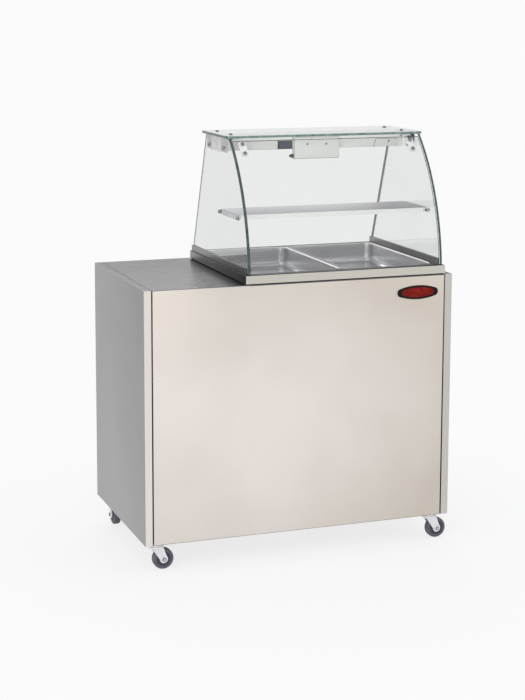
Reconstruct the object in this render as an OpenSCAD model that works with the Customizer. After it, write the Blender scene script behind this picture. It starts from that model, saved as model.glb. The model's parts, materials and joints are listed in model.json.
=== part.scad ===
// Heated display trolley: a stainless cabinet on casters, with a worktop at the left and a
// glass display over two food pans at the right. Millimetres. The origin is on the floor under
// the middle of the cabinet, X runs to the right, Y to the service side at the back, Z up.

/* [Cabinet] */
// Overall width of the cabinet
cab_w = 1050; // [960:10:1300]
// Overall depth of the cabinet
cab_d = 600; // [590:5:700]
// Height of the worktop above the floor
worktop_z = 904; // [850:2:950]
// Thickness of the double-skinned panels
panel_t = 26; // [20:1:32]
// Thickness of the folded sheet steel
sheet_t = 1.5; // [1:0.1:2]
// Dark gap between the front panel and each side panel
front_gap = 1.5; // [1:0.5:3]
// Height of the folded edges of the floor tray
floor_edge_h = 25; // [15:1:40]
// Depth of the folded edges under the worktop
worktop_edge_h = 28; // [16:1:40]
// Depth of the folded rear edge of the worktop
worktop_rear_h = 13; // [8:1:20]

/* [Plate shelf inside the cabinet] */
// Height of the shelf above the floor
plate_shelf_z = 430; // [300:10:520]
// Height of the folded edges of the shelf
plate_shelf_edge = 20; // [12:1:30]
// Width of the ledges that carry the shelf
ledge_w = 15; // [10:1:25]
// Thickness of the ledges
ledge_t = 2; // [1.5:0.5:3]
// Depth of the shelf from front to back
plate_shelf_d = 500; // [300:10:520]

/* [Rear doors and control panel] */
// Height of the control panel under the worktop
fascia_h = 150; // [130:5:180]
// Recess of the control panel from the back of the cabinet
fascia_recess = 24; // [22:1:30]
// Thickness of the doors
door_t = 20; // [18:1:24]
// Gap between the two doors
door_gap = 2; // [1:0.5:4]
// Recess of the doors from the back of the cabinet
door_recess = 2; // [1.6:0.2:4]
// Diameter of the door pivots
pivot_d = 8; // [6:0.5:9]
// Length of each pivot inside its door
pivot_len = 18; // [12:1:25]
// Height of the collar that carries a door
pivot_collar_h = 4; // [3:0.5:6]
// Width of the collar round a door pivot
pivot_collar_w = 4; // [2:0.5:5]
// Width of the recessed pull
pull_w = 46; // [36:1:60]
// Height of the recessed pull
pull_h = 120; // [90:5:160]
// Depth of the recessed pull
pull_deep = 14; // [10:1:15]
// Width of the flange round the recessed pull
pull_flange = 6; // [4:1:10]
// Distance from the edge of a door to its pull
pull_from_edge = 22; // [16:1:60]
// Distance from the top of a door to the middle of its pull
pull_down = 130; // [80:5:300]
// Height of the controls above the foot of the control panel
control_rise = 67.5; // [50:0.5:80]
// Distance from the middle of the cabinet to the thermostat knob
control_at = 240; // [150:5:280]
// Distance between the knob and the mains switch
switch_pitch = 75; // [60:1:90]
// Distance between the mains switch and the indicator lens
lens_pitch = 55; // [40:1:70]
// Distance from the middle of the cabinet to the mains inlet
inlet_x = 400; // [300:5:440]
// Depth of the housing behind the controls
house_d = 70; // [40:1:100]
// Length of the housing beyond the knob and the lens
house_over = 50; // [40:1:60]
// Distance of the housing above the foot of the control panel
house_rise = 12; // [4:1:16]
// Diameter of the thermostat body
thermostat_d = 36; // [30:1:40]
// Length of the thermostat body
thermostat_l = 22; // [15:1:35]
// Length of the indicator behind the panel
lens_back = 18; // [12:1:30]
// Diameter of the thermostat knob
knob_d = 42; // [34:1:52]
// Height of the thermostat knob
knob_h = 17; // [12:1:20]
// Width of the skirt round the knob
knob_skirt_w = 2.5; // [1:0.5:6]
// Height of the skirt round the knob
knob_skirt_h = 4; // [2:0.5:6]
// Thickness of the front of the knob
knob_top = 3; // [2:0.5:5]
// Diameter of the thermostat spindle
spindle_d = 6; // [5:0.5:8]
// Diameter of the indicator lens
lens_d = 12; // [8:1:16]
// Height of the indicator lens
lens_h = 4; // [2:0.5:6]
// Width of a rocker switch across its pivot
rocker_w = 20; // [16:1:22]
// Length of the mains rocker switch
mains_rocker_l = 28; // [24:1:36]
// Length of the lamp rocker switch
lamp_rocker_l = 44; // [36:1:50]
// Width of the flange round a rocker switch
rocker_flange = 3.5; // [3:0.5:6]
// Thickness of the flange of a rocker switch
rocker_rim = 2; // [1.5:0.5:3]
// Wall of the rocker switch housing
rocker_wall = 2; // [1.8:0.1:2.4]
// Depth inside the rocker switch housing
rocker_deep = 10; // [9.5:0.5:14]
// Diameter of the rocker pivot
rocker_pin_d = 3; // [2:0.2:4]
// Depth of the rocker pivot behind the flange
rocker_pivot_in = 3; // [2.5:0.1:3.5]
// Height of the ends of a rocker above its pivot
rocker_rise = 7; // [6:0.5:7.5]
// Hollow of the rocker face
rocker_dip = 2.5; // [1:0.5:3]
// Tilt of a rocker to each side in degrees
rocker_tilt = 7; // [4:0.5:7]
// Width of the mains inlet
inlet_w = 30; // [28:1:36]
// Height of the mains inlet
inlet_h = 23; // [22:1:28]

// Wall and flange thickness of the mains inlet
inlet_wall = 3; // [2:0.5:3]
// Width of the ears of the mains inlet
inlet_ear = 9; // [6:0.5:12]
// Depth of the socket of the mains inlet
socket_deep = 17; // [14:0.5:22]
// Distance between the pins of the mains inlet
inlet_pin_pitch = 7; // [6.5:0.1:7.5]
// Thickness of the pins of the mains inlet
inlet_pin_t = 2; // [1.5:0.1:2.5]
// Height of the pins above the middle of the mains inlet
inlet_pin_rise = 2; // [1:0.5:3]

/* [Display base and well] */
// Width of the display base
base_w = 690; // [680:5:720]
// Depth of the display base
base_d = 580; // [575:5:600]
// Height of the display base
base_h = 26; // [22:1:32]
// Width of the folded foot of the display base
base_foot = 14; // [10:1:16]
// Height of the dark seal under the display base
seal_h = 3; // [2:0.5:5]
// Inset of the seal from the edge of the base
seal_inset = 4; // [3:0.5:6]
// Width of the seal
seal_w = 8; // [6:1:10]
// Depth of the heated well below the base
well_depth = 152; // [120:5:180]
// Room between the pan openings and the wall of the well
well_margin = 4; // [3:0.5:5]
// Diameter of the heating element tube
element_d = 8; // [6:0.5:10]
// Radius of the bend of a heating element
element_bend_r = 70; // [50:5:90]
// Height of the heating elements above the floor of the well
element_rise = 12; // [10:1:30]
// Distance from the front of the well to the bend of an element
element_setback = 60; // [20:5:120]
// Length of an element behind the well
element_tail = 22; // [14:1:23]
// Wall of the nuts on a heating element
element_nut = 4; // [2:0.5:5]
// Height of the nuts on a heating element
element_nut_h = 7; // [4:0.5:9]

/* [Pans] */
// Distance from the side of the base to the rim of a pan
pan_side = 20.4; // [18:0.2:30]
// Length of a pan over its rim
pan_l = 528; // [500:1:530]
// Depth of a pan
pan_depth = 65; // [40:5:100]
// Width of the rim of a pan
pan_rim = 12; // [10:0.5:14]
// Thickness of the pan sheet
pan_t = 1.2; // [0.8:0.1:1.5]
// Corner radius of a pan
pan_corner_r = 13; // [11:1:30]
// Gap between the rims of the pans
pan_gap = 1.2; // [0.6:0.2:3]
// Distance from the front of the base to the pans
pan_setback = 28; // [26:1:34]

/* [Display glass] */
// Height of the display from the base to the top glass
case_h = 416; // [400:2:440]
// Thickness of the side glasses
side_glass_t = 8; // [6:1:8]
// Thickness of the curved front glass
front_glass_t = 6; // [5:0.5:8]
// Outer radius of the front curve
glass_r = 633; // [620:1:640]
// Depth of the centre of the curve below the base
arc_drop = 34.5; // [25:0.5:40]
// Distance from the front of the base to the glass
glass_setback = 6; // [4:0.5:10]
// Distance from the side of the base to the side glass
glass_inset = 8; // [6:0.5:10]
// Distance from the back of the base to the side glass
glass_back_inset = 5; // [3:0.5:10]
// Lean of the back edge of the side glasses in degrees
back_lean = 20; // [16:0.5:22]
// Gap between the front glass and each side glass
front_glass_gap = 1; // [0.5:0.1:2]
// Gap under the front glass
front_glass_lift = 1.5; // [1:0.1:2]
// Thickness of the top glass
top_glass_t = 8; // [6:1:12]
// Overhang of the top glass at the front
top_front_over = 6; // [4:1:20]
// Overhang of the top glass at the back
top_back_over = 28; // [20:1:80]
// Corner radius of the top glass
top_corner_r = 12; // [5:1:30]
// Wall of the channels that hold the side glasses
channel_wall = 3.3; // [2:0.1:3.5]
// Height of the channels
channel_h = 20; // [14:1:26]
// Thickness of the bottom of the channels
channel_floor = 3; // [2:0.5:5]
// Inset of the channels from the ends of the base
channel_inset = 25; // [20:1:40]

/* [Glass clips and bolts] */
// Thickness of the angle clips
clip_t = 3; // [2:0.5:4]
// Height of the leg on the side glass
clip_leg_h = 48; // [40:1:60]
// Length of the leg under the top glass
clip_leg_l = 45; // [40:1:60]
// Width of the rear clips
clip_rear_w = 42; // [30:1:44]
// Width of the front clips
clip_front_w = 62; // [50:1:66]
// Distance from the front clips to the gantry
clip_gap = 30; // [26:1:36]
// Distance from the gantry to the rear clips
clip_rear_gap = 8; // [1:1:10]
// Distance from the rear end of a clip to its bolt
clip_bolt_back = 12; // [8:0.5:14]
// Distance from the side glass to the bolts in the top glass
clip_bolt_in = 25; // [20:1:36]
// Distance from the top glass to the screws in the side glass
clip_screw_down = 34; // [28:1:38]
// Diameter of the glass bolts
bolt_d = 6; // [5:0.5:6]
// Diameter of the bolt heads
bolt_head_d = 13; // [10:0.5:14]
// Height of the bolt heads
bolt_head_h = 3; // [2:0.5:4]
// Height of the nuts on the glass bolts
glass_nut_h = 4; // [3:0.5:6]
// Room for a bolt in its hole, all round
bolt_room = 0.5; // [0.3:0.1:1]

/* [Shelf in the display] */
// Height of the shelf above the base
shelf_rise = 179; // [150:1:220]
// Depth of the shelf
shelf_d = 185; // [150:5:200]
// Distance from the front of the base to the shelf
shelf_setback = 100; // [90:1:120]
// Thickness of the shelf sheet
shelf_t = 1.2; // [1:0.1:2]
// Height of the front lip of the shelf
shelf_lip_h = 15; // [10:1:20]
// Height of the rear lip of the shelf
shelf_rear_h = 10; // [6:1:15]
// Leg of the angle rails under the shelf
rail_leg = 14; // [12:1:18]
// Height of the rail leg on the side glass
rail_side = 16; // [14:1:20]
// Length of a rail beyond its bolts
rail_end = 9; // [8:1:14]
// Distance from the lips of the shelf to the rails
shelf_lip_in = 5; // [2:1:10]
// Thickness of the rails
rail_t = 3; // [2:0.5:4]
// Distance between the two bolts of a rail
rail_bolt_pitch = 180; // [140:5:190]

/* [Lamp gantry] */
// Distance from the front of the base to the gantry
gantry_setback = 310; // [305:1:312]
// Depth of the gantry
gantry_d = 60; // [50:1:61]
// Height of the gantry
gantry_h = 51; // [44:1:56]
// Width of the wiring box
wire_box_w = 162; // [120:2:200]
// Height of the wiring box
wire_box_h = 72; // [60:1:90]
// Depth of the wiring box
wire_box_d = 18; // [12:1:24]
// Distance from the top glass to the wiring box
wire_box_down = 11; // [4:1:14]
// Offset of the wiring box from the middle of the display
wire_box_x = 6.5; // [0:0.5:20]
// Distance between the screws of the wiring box
box_screw_pitch = 68; // [40:1:90]
// Distance from the top of the wiring box to its screws
box_screw_down = 24; // [12:1:50]
// Distance from the right glass to the gusset
gusset_from_side = 22; // [16:1:40]
// Thickness of the gusset
gusset_t = 2; // [1:0.5:3]
// Width of the gusset at the right end
gusset_w = 88; // [60:1:110]
// Distance from the left end of the gusset to its screw
gusset_screw_in = 56; // [30:1:70]
// Height of the screw in the gusset
gusset_screw_rise = 18; // [8:1:20]
// Diameter of the small screw heads
small_screw_d = 6.5; // [5:0.5:8]
// Height of the small screw heads
small_screw_h = 2; // [1:0.5:3]
// Diameter of the cable gland
gland_d = 14; // [10:1:18]
// Length of the cable gland
gland_l = 13; // [10:1:18]
// Height of the nut of the cable gland
gland_nut_h = 5; // [3:0.5:6]
// Height of the cable gland above the foot of the wiring box
gland_rise = 10; // [8:1:20]
// Height of the gusset
gusset_h = 26; // [20:1:32]
// Diameter of the lamp tube
lamp_d = 12; // [8:0.5:16]
// Length of the lamp tube
lamp_l = 540; // [400:10:600]
// Distance of the lamp behind the middle of the gantry
lamp_back = 4; // [2:0.5:6]
// Distance from the top glass to the lamp
lamp_down = 24; // [20:1:30]
// Width of a lamp holder
holder_w = 26; // [20:1:32]
// Length of lamp tube inside each holder
holder_grip = 14; // [8:1:20]

/* [Front glass hinges] */
// Distance from the side glass to each hinge
hinge_in = 34; // [28:1:60]
// Angle of the hinge on the front curve in degrees
hinge_angle = 43.2; // [42.6:0.1:43.6]
// Distance of the hinge pin behind the front glass
pin_depth = 8.5; // [8:0.1:9]
// Diameter of the hinge pin
pin_d = 5; // [4:0.1:5]
// Length of front glass above the hinge pin
glass_over_pin = 13; // [11:0.5:13.5]
// Distance between the two bolts of a hinge
hinge_bolt_pitch = 36; // [28:1:50]
// Thickness of the hinge arm
arm_t = 4; // [3:0.5:5]
// Width of the neck of the hinge arm
arm_neck_w = 8; // [6:0.5:10]
// Width of the hinge arm under the top glass
arm_w = 16; // [14:1:20]
// Width of the clamp plate on the glass
clamp_w = 24; // [22:1:30]
// Thickness of the clamp plate
clamp_t = 2.5; // [2:0.1:2.8]
// Length of the clamp plate beyond its bolts
clamp_over = 8; // [7:0.5:8]
// Thickness of the ears that hold the hinge pin
ear_t = 2.5; // [2:0.1:3.5]
// Wall round the hinge pin
eye_wall = 2.5; // [2:0.1:2.8]
// Distance of the arm's neck behind the hinge pin
neck_back = 24; // [22:0.5:26]
// Drop of the arm's neck below the hinge pin
neck_drop = 11; // [10:0.5:12]

/* [Badge] */
// Width of the oval plate on the front
badge_w = 144; // [120:1:160]
// Height of the oval plate
badge_h = 46; // [40:1:52]
// Thickness of the oval plate
badge_t = 2; // [1:0.5:3]
// End radius of the oval plate
badge_end_r = 14; // [10:1:16]
// Distance from the right side of the cabinet to the middle of the plate
badge_from_side = 123; // [110:1:160]
// Distance from the worktop to the middle of the plate
badge_down = 55; // [45:1:80]

/* [Casters] */
// Height of a caster
caster_h = 90; // [86:1:104]
// Diameter of a wheel
wheel_d = 68; // [60:1:68]
// Width of a wheel
wheel_w = 24; // [20:1:26]
// Trail of a wheel behind its swivel
trail = 22; // [20:1:28]
// Distance from the side of the cabinet to the swivel
caster_in_x = 47; // [44:1:60]
// Distance from the front and back of the cabinet to the swivel
caster_in_y = 42; // [40:1:60]
// Diameter of the stem that holds a caster to the floor sheet
stem_d = 12; // [8:0.5:14]
// Width of the nut on a stem
nut_w = 20; // [18:0.5:24]
// Height of the nut on a stem
nut_h = 5; // [4:0.5:8]
// Diameter of the swivel housing
swivel_d = 44; // [36:1:50]
// Height of the swivel housing
swivel_h = 11.5; // [9:0.5:12]
// Diameter of the kingpin
kingpin_d = 10; // [8:0.5:14]
// Thickness of the fork crown
crown_t = 7; // [5:0.5:9]
// Width of the crown beyond the swivel housing
crown_over = 2; // [0:0.5:3]
// Gap between a wheel and each fork leg
fork_room = 1.5; // [1:0.1:3]
// Thickness of the web between the fork legs
fork_web = 3; // [2:0.5:4]
// Reach of the fork legs ahead of the swivel
fork_ahead = 18; // [12:1:20]
// Reach of the fork legs behind the swivel
fork_behind = 20; // [14:1:22]
// Diameter of the end of a fork leg round the axle
axle_boss_d = 26; // [18:0.5:28]
// Height of the nuts on an axle
axle_nut_h = 5; // [3:0.5:7]
// Thickness of the fork legs
fork_t = 2.5; // [2:0.1:3.5]
// Diameter of the axle
axle_d = 8; // [6:0.5:10]
// Diameter of the hub
hub_d = 38; // [30:1:48]
// Wall of the hub round the axle
hub_wall = 4; // [3:0.5:6]
// Length of the hub beyond each side of the tyre
hub_over = 1; // [0.5:0.1:1.2]
// Depth of the disc of the hub inside the tyre
hub_recess = 2; // [1:0.5:5]
// Radius of the edges of a tyre
tyre_edge = 5; // [3:0.5:6]

/* [Clearances] */
// Small gap between fixed sheet parts
fit_gap = 0.3; // [0.2:0.1:0.5]
// Gap of a side glass in its channel, each side
channel_fit = 0.2; // [0.1:0.05:0.4]
// Radial gap of pins and shafts that turn
run_fit = 0.06; // [0.03:0.01:0.1]
// Gap beside pieces that turn or slide
side_fit = 0.5; // [0.3:0.1:1]
// Gap of a pan body in its opening, each side
pan_fit = 2; // [1:0.5:3]
// Gap round the well in the worktop
well_fit = 3; // [2:0.5:4]

/* [Hidden] */
$fn = 48;
glass_fn = 360;
over = 1;

steel = "#d9d5cf";
panel_grey = "#b9b9b8";
worktop_grey = "#8a8890";
dark_steel = "#77787c";
glass_tint = "#a9c4bf";
black_plastic = "#2c2b30";
zinc = "#dfe0e4";
slate = "#50505c";

// Cabinet
half_w = cab_w / 2;
front_y = -cab_d / 2;
back_y = cab_d / 2;
in_x = half_w - panel_t;
floor_z = caster_h;
sheet_x = in_x - fit_gap;
under_top = worktop_z - sheet_t;
fascia_y = back_y - fascia_recess;
fascia_z = under_top - fascia_h;

// Display
base_x1 = in_x;
base_x0 = base_x1 - base_w;
mid_x = (base_x0 + base_x1) / 2;
base_y0 = front_y;
base_y1 = base_y0 + base_d;
base_top = worktop_z + seal_h + base_h;
glass_out_x = base_w / 2 - glass_inset;
glass_in_x = glass_out_x - side_glass_t;
arc_y = base_y0 + glass_setback + glass_r;
arc_z = base_top - arc_drop;
top_under = base_top + case_h;
glass_foot_z = base_top + channel_floor;
glass_head_z = top_under - 1;

function arc_front(z) = arc_y - sqrt(pow(glass_r, 2) - pow(z - arc_z, 2));
function back_edge(z) = base_y1 - glass_back_inset - (z - base_top) * tan(back_lean);
function on_arc(r, a) = [arc_y - r * cos(a), arc_z + r * sin(a)];
function arc_degrees(length) = length / glass_r * 180 / PI;

top_y0 = arc_front(top_under) - top_front_over;
top_y1 = back_edge(top_under) + top_back_over;

// Pans and well
pan_w = (base_w - pan_gap) / 2 - pan_side;
pan_x = (pan_w + pan_gap) / 2;
pan_y0 = base_y0 + pan_setback;
pan_y1 = pan_y0 + pan_l;
pan_y = (pan_y0 + pan_y1) / 2;
hole_w = pan_w - 2 * pan_rim + 2 * pan_fit;
hole_l = pan_l - 2 * pan_rim + 2 * pan_fit;
hole_r = pan_corner_r + pan_fit;
well_x = pan_x + hole_w / 2 + well_margin;
well_y0 = pan_y - hole_l / 2 - well_margin;
well_y1 = pan_y + hole_l / 2 + well_margin;
well_top = base_top - sheet_t;
well_floor = well_top - well_depth;
element_z = well_floor + sheet_t + element_rise;

// Gantry, hinges and clips
gantry_y0 = base_y0 + gantry_setback;
gantry_y1 = gantry_y0 + gantry_d;
gantry_z0 = top_under - gantry_h;
wire_box_y0 = gantry_y0 - wire_box_d;
wire_box_z1 = top_under - wire_box_down;
lamp_rocker_x = wire_box_x - wire_box_w / 2 - lamp_rocker_l / 2 - rocker_flange - side_fit;
lamp_rocker_z = gantry_z0 + rocker_w / 2 + rocker_flange + side_fit;
gusset_x0 = glass_in_x - gusset_from_side - gusset_w;
lamp_y = gantry_y0 + gantry_d / 2 + lamp_back;
lamp_z = top_under - lamp_down;
clip_front_y1 = gantry_y0 - clip_gap;
clip_front_y0 = clip_front_y1 - clip_front_w;
clip_front_bolt_y = clip_front_y1 - clip_bolt_back;
clip_rear_y0 = gantry_y1 + clip_rear_gap;
clip_rear_y1 = clip_rear_y0 + clip_rear_w;
clip_rear_bolt_y = clip_rear_y1 - clip_bolt_back;
bolt_x = glass_in_x - clip_bolt_in;
pin_point = on_arc(glass_r - front_glass_t - pin_depth, hinge_angle);
hinge_x = glass_in_x - hinge_in;
arm_y = pin_point[0] + neck_back;
arm_z = top_under - clip_t - arm_t / 2;
arm_low = [arm_y, pin_point[1] - neck_drop];
eye_r = pin_d / 2 + eye_wall;

// Shelf
shelf_z = base_top + shelf_rise;
shelf_y0 = base_y0 + shelf_setback;
shelf_y1 = shelf_y0 + shelf_d;
rail_y = shelf_y0 + rail_bolt_pitch / 2 + rail_end;
rail_bolt_z = shelf_z - shelf_t - rail_side / 2;

// Doors and controls
door_y1 = back_y - door_recess;
door_y = door_y1 - door_t / 2;
door_z0 = floor_z + sheet_t + pivot_collar_h + fit_gap;
door_z1 = fascia_z - pivot_collar_h - fit_gap;
pivot_x = in_x - side_fit - door_t / 2;
pull_x = pull_from_edge + door_gap / 2 + pull_w / 2;
pull_z = door_z1 - pull_down;
control_z = fascia_z + control_rise;
knob_x = -control_at;
switch_x = knob_x - switch_pitch;
lens_x = switch_x - lens_pitch;
house_x0 = lens_x - house_over;
house_x1 = knob_x + house_over;

// Casters: place of each swivel and the way its wheel trails at rest
caster_x = half_w - caster_in_x;
caster_y = cab_d / 2 - caster_in_y;
casters = [
  [-caster_x, -caster_y, 0], [caster_x, -caster_y, 0],
  [-caster_x, caster_y, -90], [caster_x, caster_y, -90]
];
wheel_r = wheel_d / 2;
swivel_z = caster_h - swivel_h;
kingpin_len = swivel_h - 2;
crown_z = swivel_z - fit_gap - crown_t;
fork_in = wheel_w / 2 + fork_room;
boss_r = axle_boss_d / 2;

// A block from one corner to the opposite corner
module block(a, b) {
  translate(a) cube(b - a);
}

// A closed hollow block with walls of thickness t
module shell_block(a, b, t) {
  difference() {
    block(a, b);
    block(a + [t, t, t], b - [t, t, t]);
  }
}

// Extrudes a profile drawn in Y and Z along X
module along_x(x0, x1) {
  translate([x0, 0, 0]) rotate([90, 0, 90]) linear_extrude(x1 - x0) children();
}

// A flat bar with round ends between two points
module bar(p, q, w) {
  run = q - p;
  translate(p) circle(d = w);
  translate(q) circle(d = w);
  translate(p) rotate(atan2(run[1], run[0])) translate([0, -w / 2]) square([norm(run), w]);
}

// A flat bar with square ends that reach half its width beyond two points
module strap(p, q, w) {
  run = q - p;
  translate(p) rotate(atan2(run[1], run[0])) translate([-w / 2, -w / 2]) square([norm(run) + w, w]);
}

// A rectangle with round corners, centred
module round_rect(w, l, r) {
  square([w - 2 * r, l], center = true);
  square([w, l - 2 * r], center = true);
  for (x = [-1, 1]) for (y = [-1, 1])
    translate([x * (w / 2 - r), y * (l / 2 - r)]) circle(r = r);
}

module round_block(w, l, r, z0, z1) {
  translate([0, 0, z0]) linear_extrude(z1 - z0) round_rect(w, l, r);
}

// Repeats a piece at the left and mirrored at the right of the display
module both_sides() {
  translate([mid_x, 0, 0]) {
    children();
    mirror([1, 0, 0]) children();
  }
}

module bolt_head() {
  cylinder(d1 = bolt_head_d, d2 = bolt_head_d - bolt_head_h, h = bolt_head_h);
}

// A bolt along Z with its head on top of z = 0, its nut below the grip
module glass_bolt(grip) {
  bolt_head();
  translate([0, 0, -grip - glass_nut_h - over]) cylinder(d = bolt_d, h = grip + glass_nut_h + 2 * over);
  translate([0, 0, -grip - glass_nut_h]) cylinder(d = bolt_head_d - bolt_head_h, h = glass_nut_h, $fn = 6);
}

module bolt_hole(length) {
  translate([0, 0, -length / 2]) cylinder(d = bolt_d + 2 * bolt_room, h = length);
}

// Cabinet

module side_panel(side) {
  x0 = side < 0 ? -half_w : in_x;
  color(panel_grey)
    shell_block([x0, front_y, floor_z], [x0 + panel_t, back_y, worktop_z], sheet_t);
}
module side_panel_left() { side_panel(-1); }
module side_panel_right() { side_panel(1); }

module front_panel() {
  w = in_x - front_gap;
  color(steel)
    shell_block([-w, front_y, floor_z], [w, front_y + panel_t, under_top], sheet_t);
}

module worktop() {
  edge_z = worktop_z - worktop_edge_h;
  flange_y = front_y + panel_t + fit_gap;
  color(worktop_grey) difference() {
    union() {
      block([-sheet_x, front_y, under_top], [sheet_x, back_y, worktop_z]);
      for (x = [-sheet_x, sheet_x - sheet_t])
        block([x, flange_y, edge_z], [x + sheet_t, fascia_y - sheet_t - fit_gap, worktop_z]);
      block([-sheet_x, flange_y, edge_z], [sheet_x, flange_y + sheet_t, worktop_z]);
      block([-sheet_x, back_y - sheet_t, worktop_z - worktop_rear_h],
        [sheet_x, back_y, worktop_z]);
    }
    translate([mid_x, 0, 0])
      block([-well_x - sheet_t - well_fit, well_y0 - sheet_t - well_fit, under_top - over],
        [well_x + sheet_t + well_fit, well_y1 + sheet_t + well_fit, worktop_z + over]);
  }
}

module cabinet_floor() {
  y0 = front_y + panel_t;
  edge_z = floor_z + floor_edge_h;
  color(steel) difference() {
    union() {
      block([-sheet_x, y0, floor_z], [sheet_x, back_y, floor_z + sheet_t]);
      for (x = [-sheet_x, sheet_x - sheet_t])
        block([x, y0, floor_z], [x + sheet_t, door_y1 - door_t - side_fit, edge_z]);
      block([-sheet_x, y0, floor_z], [sheet_x, y0 + sheet_t, edge_z]);
    }
    for (c = casters) translate([c[0], c[1], floor_z - over])
      cylinder(d = stem_d + 2 * bolt_room, h = sheet_t + 2 * over);
  }
}

module shelf_ledges() {
  y = plate_shelf_d / 2;
  color(steel) for (side = [0, 1]) mirror([side, 0, 0]) {
    block([in_x - ledge_w, -y, plate_shelf_z - ledge_t], [in_x, y, plate_shelf_z]);
    block([in_x - ledge_t, -y, plate_shelf_z - ledge_w], [in_x, y, plate_shelf_z]);
  }
}

module plate_shelf() {
  y = plate_shelf_d / 2;
  lip_x = in_x - ledge_w - side_fit;
  z1 = plate_shelf_z + sheet_t;
  color(steel) {
    block([-sheet_x, -y, plate_shelf_z], [sheet_x, y, z1]);
    for (y0 = [-y, y - sheet_t])
      block([-lip_x, y0, z1 - plate_shelf_edge], [lip_x, y0 + sheet_t, z1]);
  }
}

// Four-arc oval: the long arcs cross the end arcs at a very small angle
module oval(w, h, end_r) {
  a = w / 2 - end_r;
  tangent_r = (pow(a, 2) + pow(h / 2, 2) - pow(end_r, 2)) / (h - 2 * end_r);
  join_x = a * tangent_r / (tangent_r - end_r);
  big_r = 0.98 * tangent_r;
  intersection() {
    translate([0, h / 2 - big_r]) circle(r = big_r, $fn = glass_fn);
    translate([0, big_r - h / 2]) circle(r = big_r, $fn = glass_fn);
    square([2 * join_x, h], center = true);
  }
  for (x = [-a, a]) translate([x, 0]) circle(r = end_r);
}

module badge_plate() {
  color("#7a1f1c")
    translate([half_w - badge_from_side, front_y, worktop_z - badge_down])
      rotate([90, 0, 0]) linear_extrude(badge_t) oval(badge_w, badge_h, badge_end_r);
}

// Control panel and what it holds

module fascia_hole(x, w, h) {
  block([x - w / 2, fascia_y - sheet_t - over, control_z - h / 2],
    [x + w / 2, fascia_y + over, control_z + h / 2]);
}

module control_fascia() {
  rocker_room = 2 * (rocker_wall + fit_gap);
  color(steel) difference() {
    union() {
      block([-sheet_x, fascia_y - sheet_t, fascia_z], [sheet_x, fascia_y, under_top]);
      block([-sheet_x, fascia_y - sheet_t, fascia_z], [sheet_x, back_y, fascia_z + sheet_t]);
    }
    fascia_hole(switch_x, rocker_w + rocker_room, mains_rocker_l + rocker_room);
    fascia_hole(inlet_x, inlet_w + 2 * fit_gap, inlet_h + 2 * fit_gap);
    for (hole = [[knob_x, spindle_d + 1], [lens_x, lens_d - 2]])
      translate([hole[0], fascia_y + over, control_z])
        rotate([90, 0, 0]) cylinder(d = hole[1], h = sheet_t + 2 * over);
  }
}

module control_housing() {
  y1 = fascia_y - sheet_t;
  z0 = fascia_z + house_rise;
  z1 = under_top - worktop_edge_h;
  color(dark_steel) difference() {
    block([house_x0, y1 - house_d, z0], [house_x1, y1, z1]);
    block([house_x0 + sheet_t, y1 - house_d + sheet_t, z0 + sheet_t],
      [house_x1 - sheet_t, y1 + over, z1 - sheet_t]);
  }
}

module thermostat_body() {
  color(dark_steel) translate([knob_x, fascia_y - sheet_t, control_z]) {
    rotate([90, 0, 0]) cylinder(d = thermostat_d, h = thermostat_l);
    rotate([-90, 0, 0]) cylinder(d = spindle_d, h = sheet_t + knob_h - knob_top);
  }
}

module thermostat_knob() {
  grip_d = knob_d - 2 * knob_skirt_w;
  color(black_plastic) translate([knob_x, fascia_y + fit_gap, control_z]) rotate([-90, 0, 0])
    difference() {
      union() {
        cylinder(d = knob_d, h = knob_skirt_h);
        cylinder(d1 = grip_d, d2 = grip_d - knob_skirt_h, h = knob_h - fit_gap);
      }
      translate([0, 0, -over]) cylinder(d = spindle_d + 2 * run_fit, h = knob_h - knob_top + over);
    }
}

module indicator_lamp() {
  color("#d8862c") translate([lens_x, fascia_y, control_z]) {
    rotate([-90, 0, 0]) cylinder(d1 = lens_d, d2 = lens_d - lens_h, h = lens_h);
    rotate([90, 0, 0]) cylinder(d = lens_d - 2 - 2 * fit_gap, h = lens_back);
  }
}

module power_inlet() {
  socket_w = inlet_w - 2 * inlet_wall;
  socket_h = inlet_h - 2 * inlet_wall;
  color(black_plastic) translate([inlet_x, fascia_y, control_z]) {
    difference() {
      union() {
        block([-inlet_w / 2 - inlet_ear, 0, -inlet_h / 2 - inlet_wall],
          [inlet_w / 2 + inlet_ear, inlet_wall, inlet_h / 2 + inlet_wall]);
        block([-inlet_w / 2, -socket_deep - inlet_wall, -inlet_h / 2], [inlet_w / 2, over, inlet_h / 2]);
      }
      block([-socket_w / 2, -socket_deep, -socket_h / 2],
        [socket_w / 2, inlet_wall + over, socket_h / 2]);
    }
    for (x = [-inlet_pin_pitch, 0, inlet_pin_pitch])
      block([x - inlet_pin_t / 2, -socket_deep - over, inlet_pin_rise],
        [x + inlet_pin_t / 2, -inlet_wall, inlet_pin_rise + 2 * inlet_pin_t]);
  }
}

// Rocker switches: the pivot runs along local X and the face looks along local Z

module rocker_frame(l) {
  flange_x = rocker_w / 2 + rocker_flange;
  wall_x = rocker_w / 2 + rocker_wall;
  stub_x = rocker_w / 2 + over;
  difference() {
    union() {
      block([-flange_x, -l / 2 - rocker_flange, 0], [flange_x, l / 2 + rocker_flange, rocker_rim]);
      block([-wall_x, -l / 2 - rocker_wall, -rocker_deep - rocker_wall],
        [wall_x, l / 2 + rocker_wall, over]);
    }
    block([-rocker_w / 2 - fit_gap, -l / 2 - over, -rocker_deep],
      [rocker_w / 2 + fit_gap, l / 2 + over, rocker_rim + over]);
    translate([-stub_x - fit_gap, 0, -rocker_pivot_in]) rotate([0, 90, 0])
      cylinder(d = rocker_pin_d + 2 * run_fit, h = 2 * (stub_x + fit_gap));
  }
}

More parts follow.
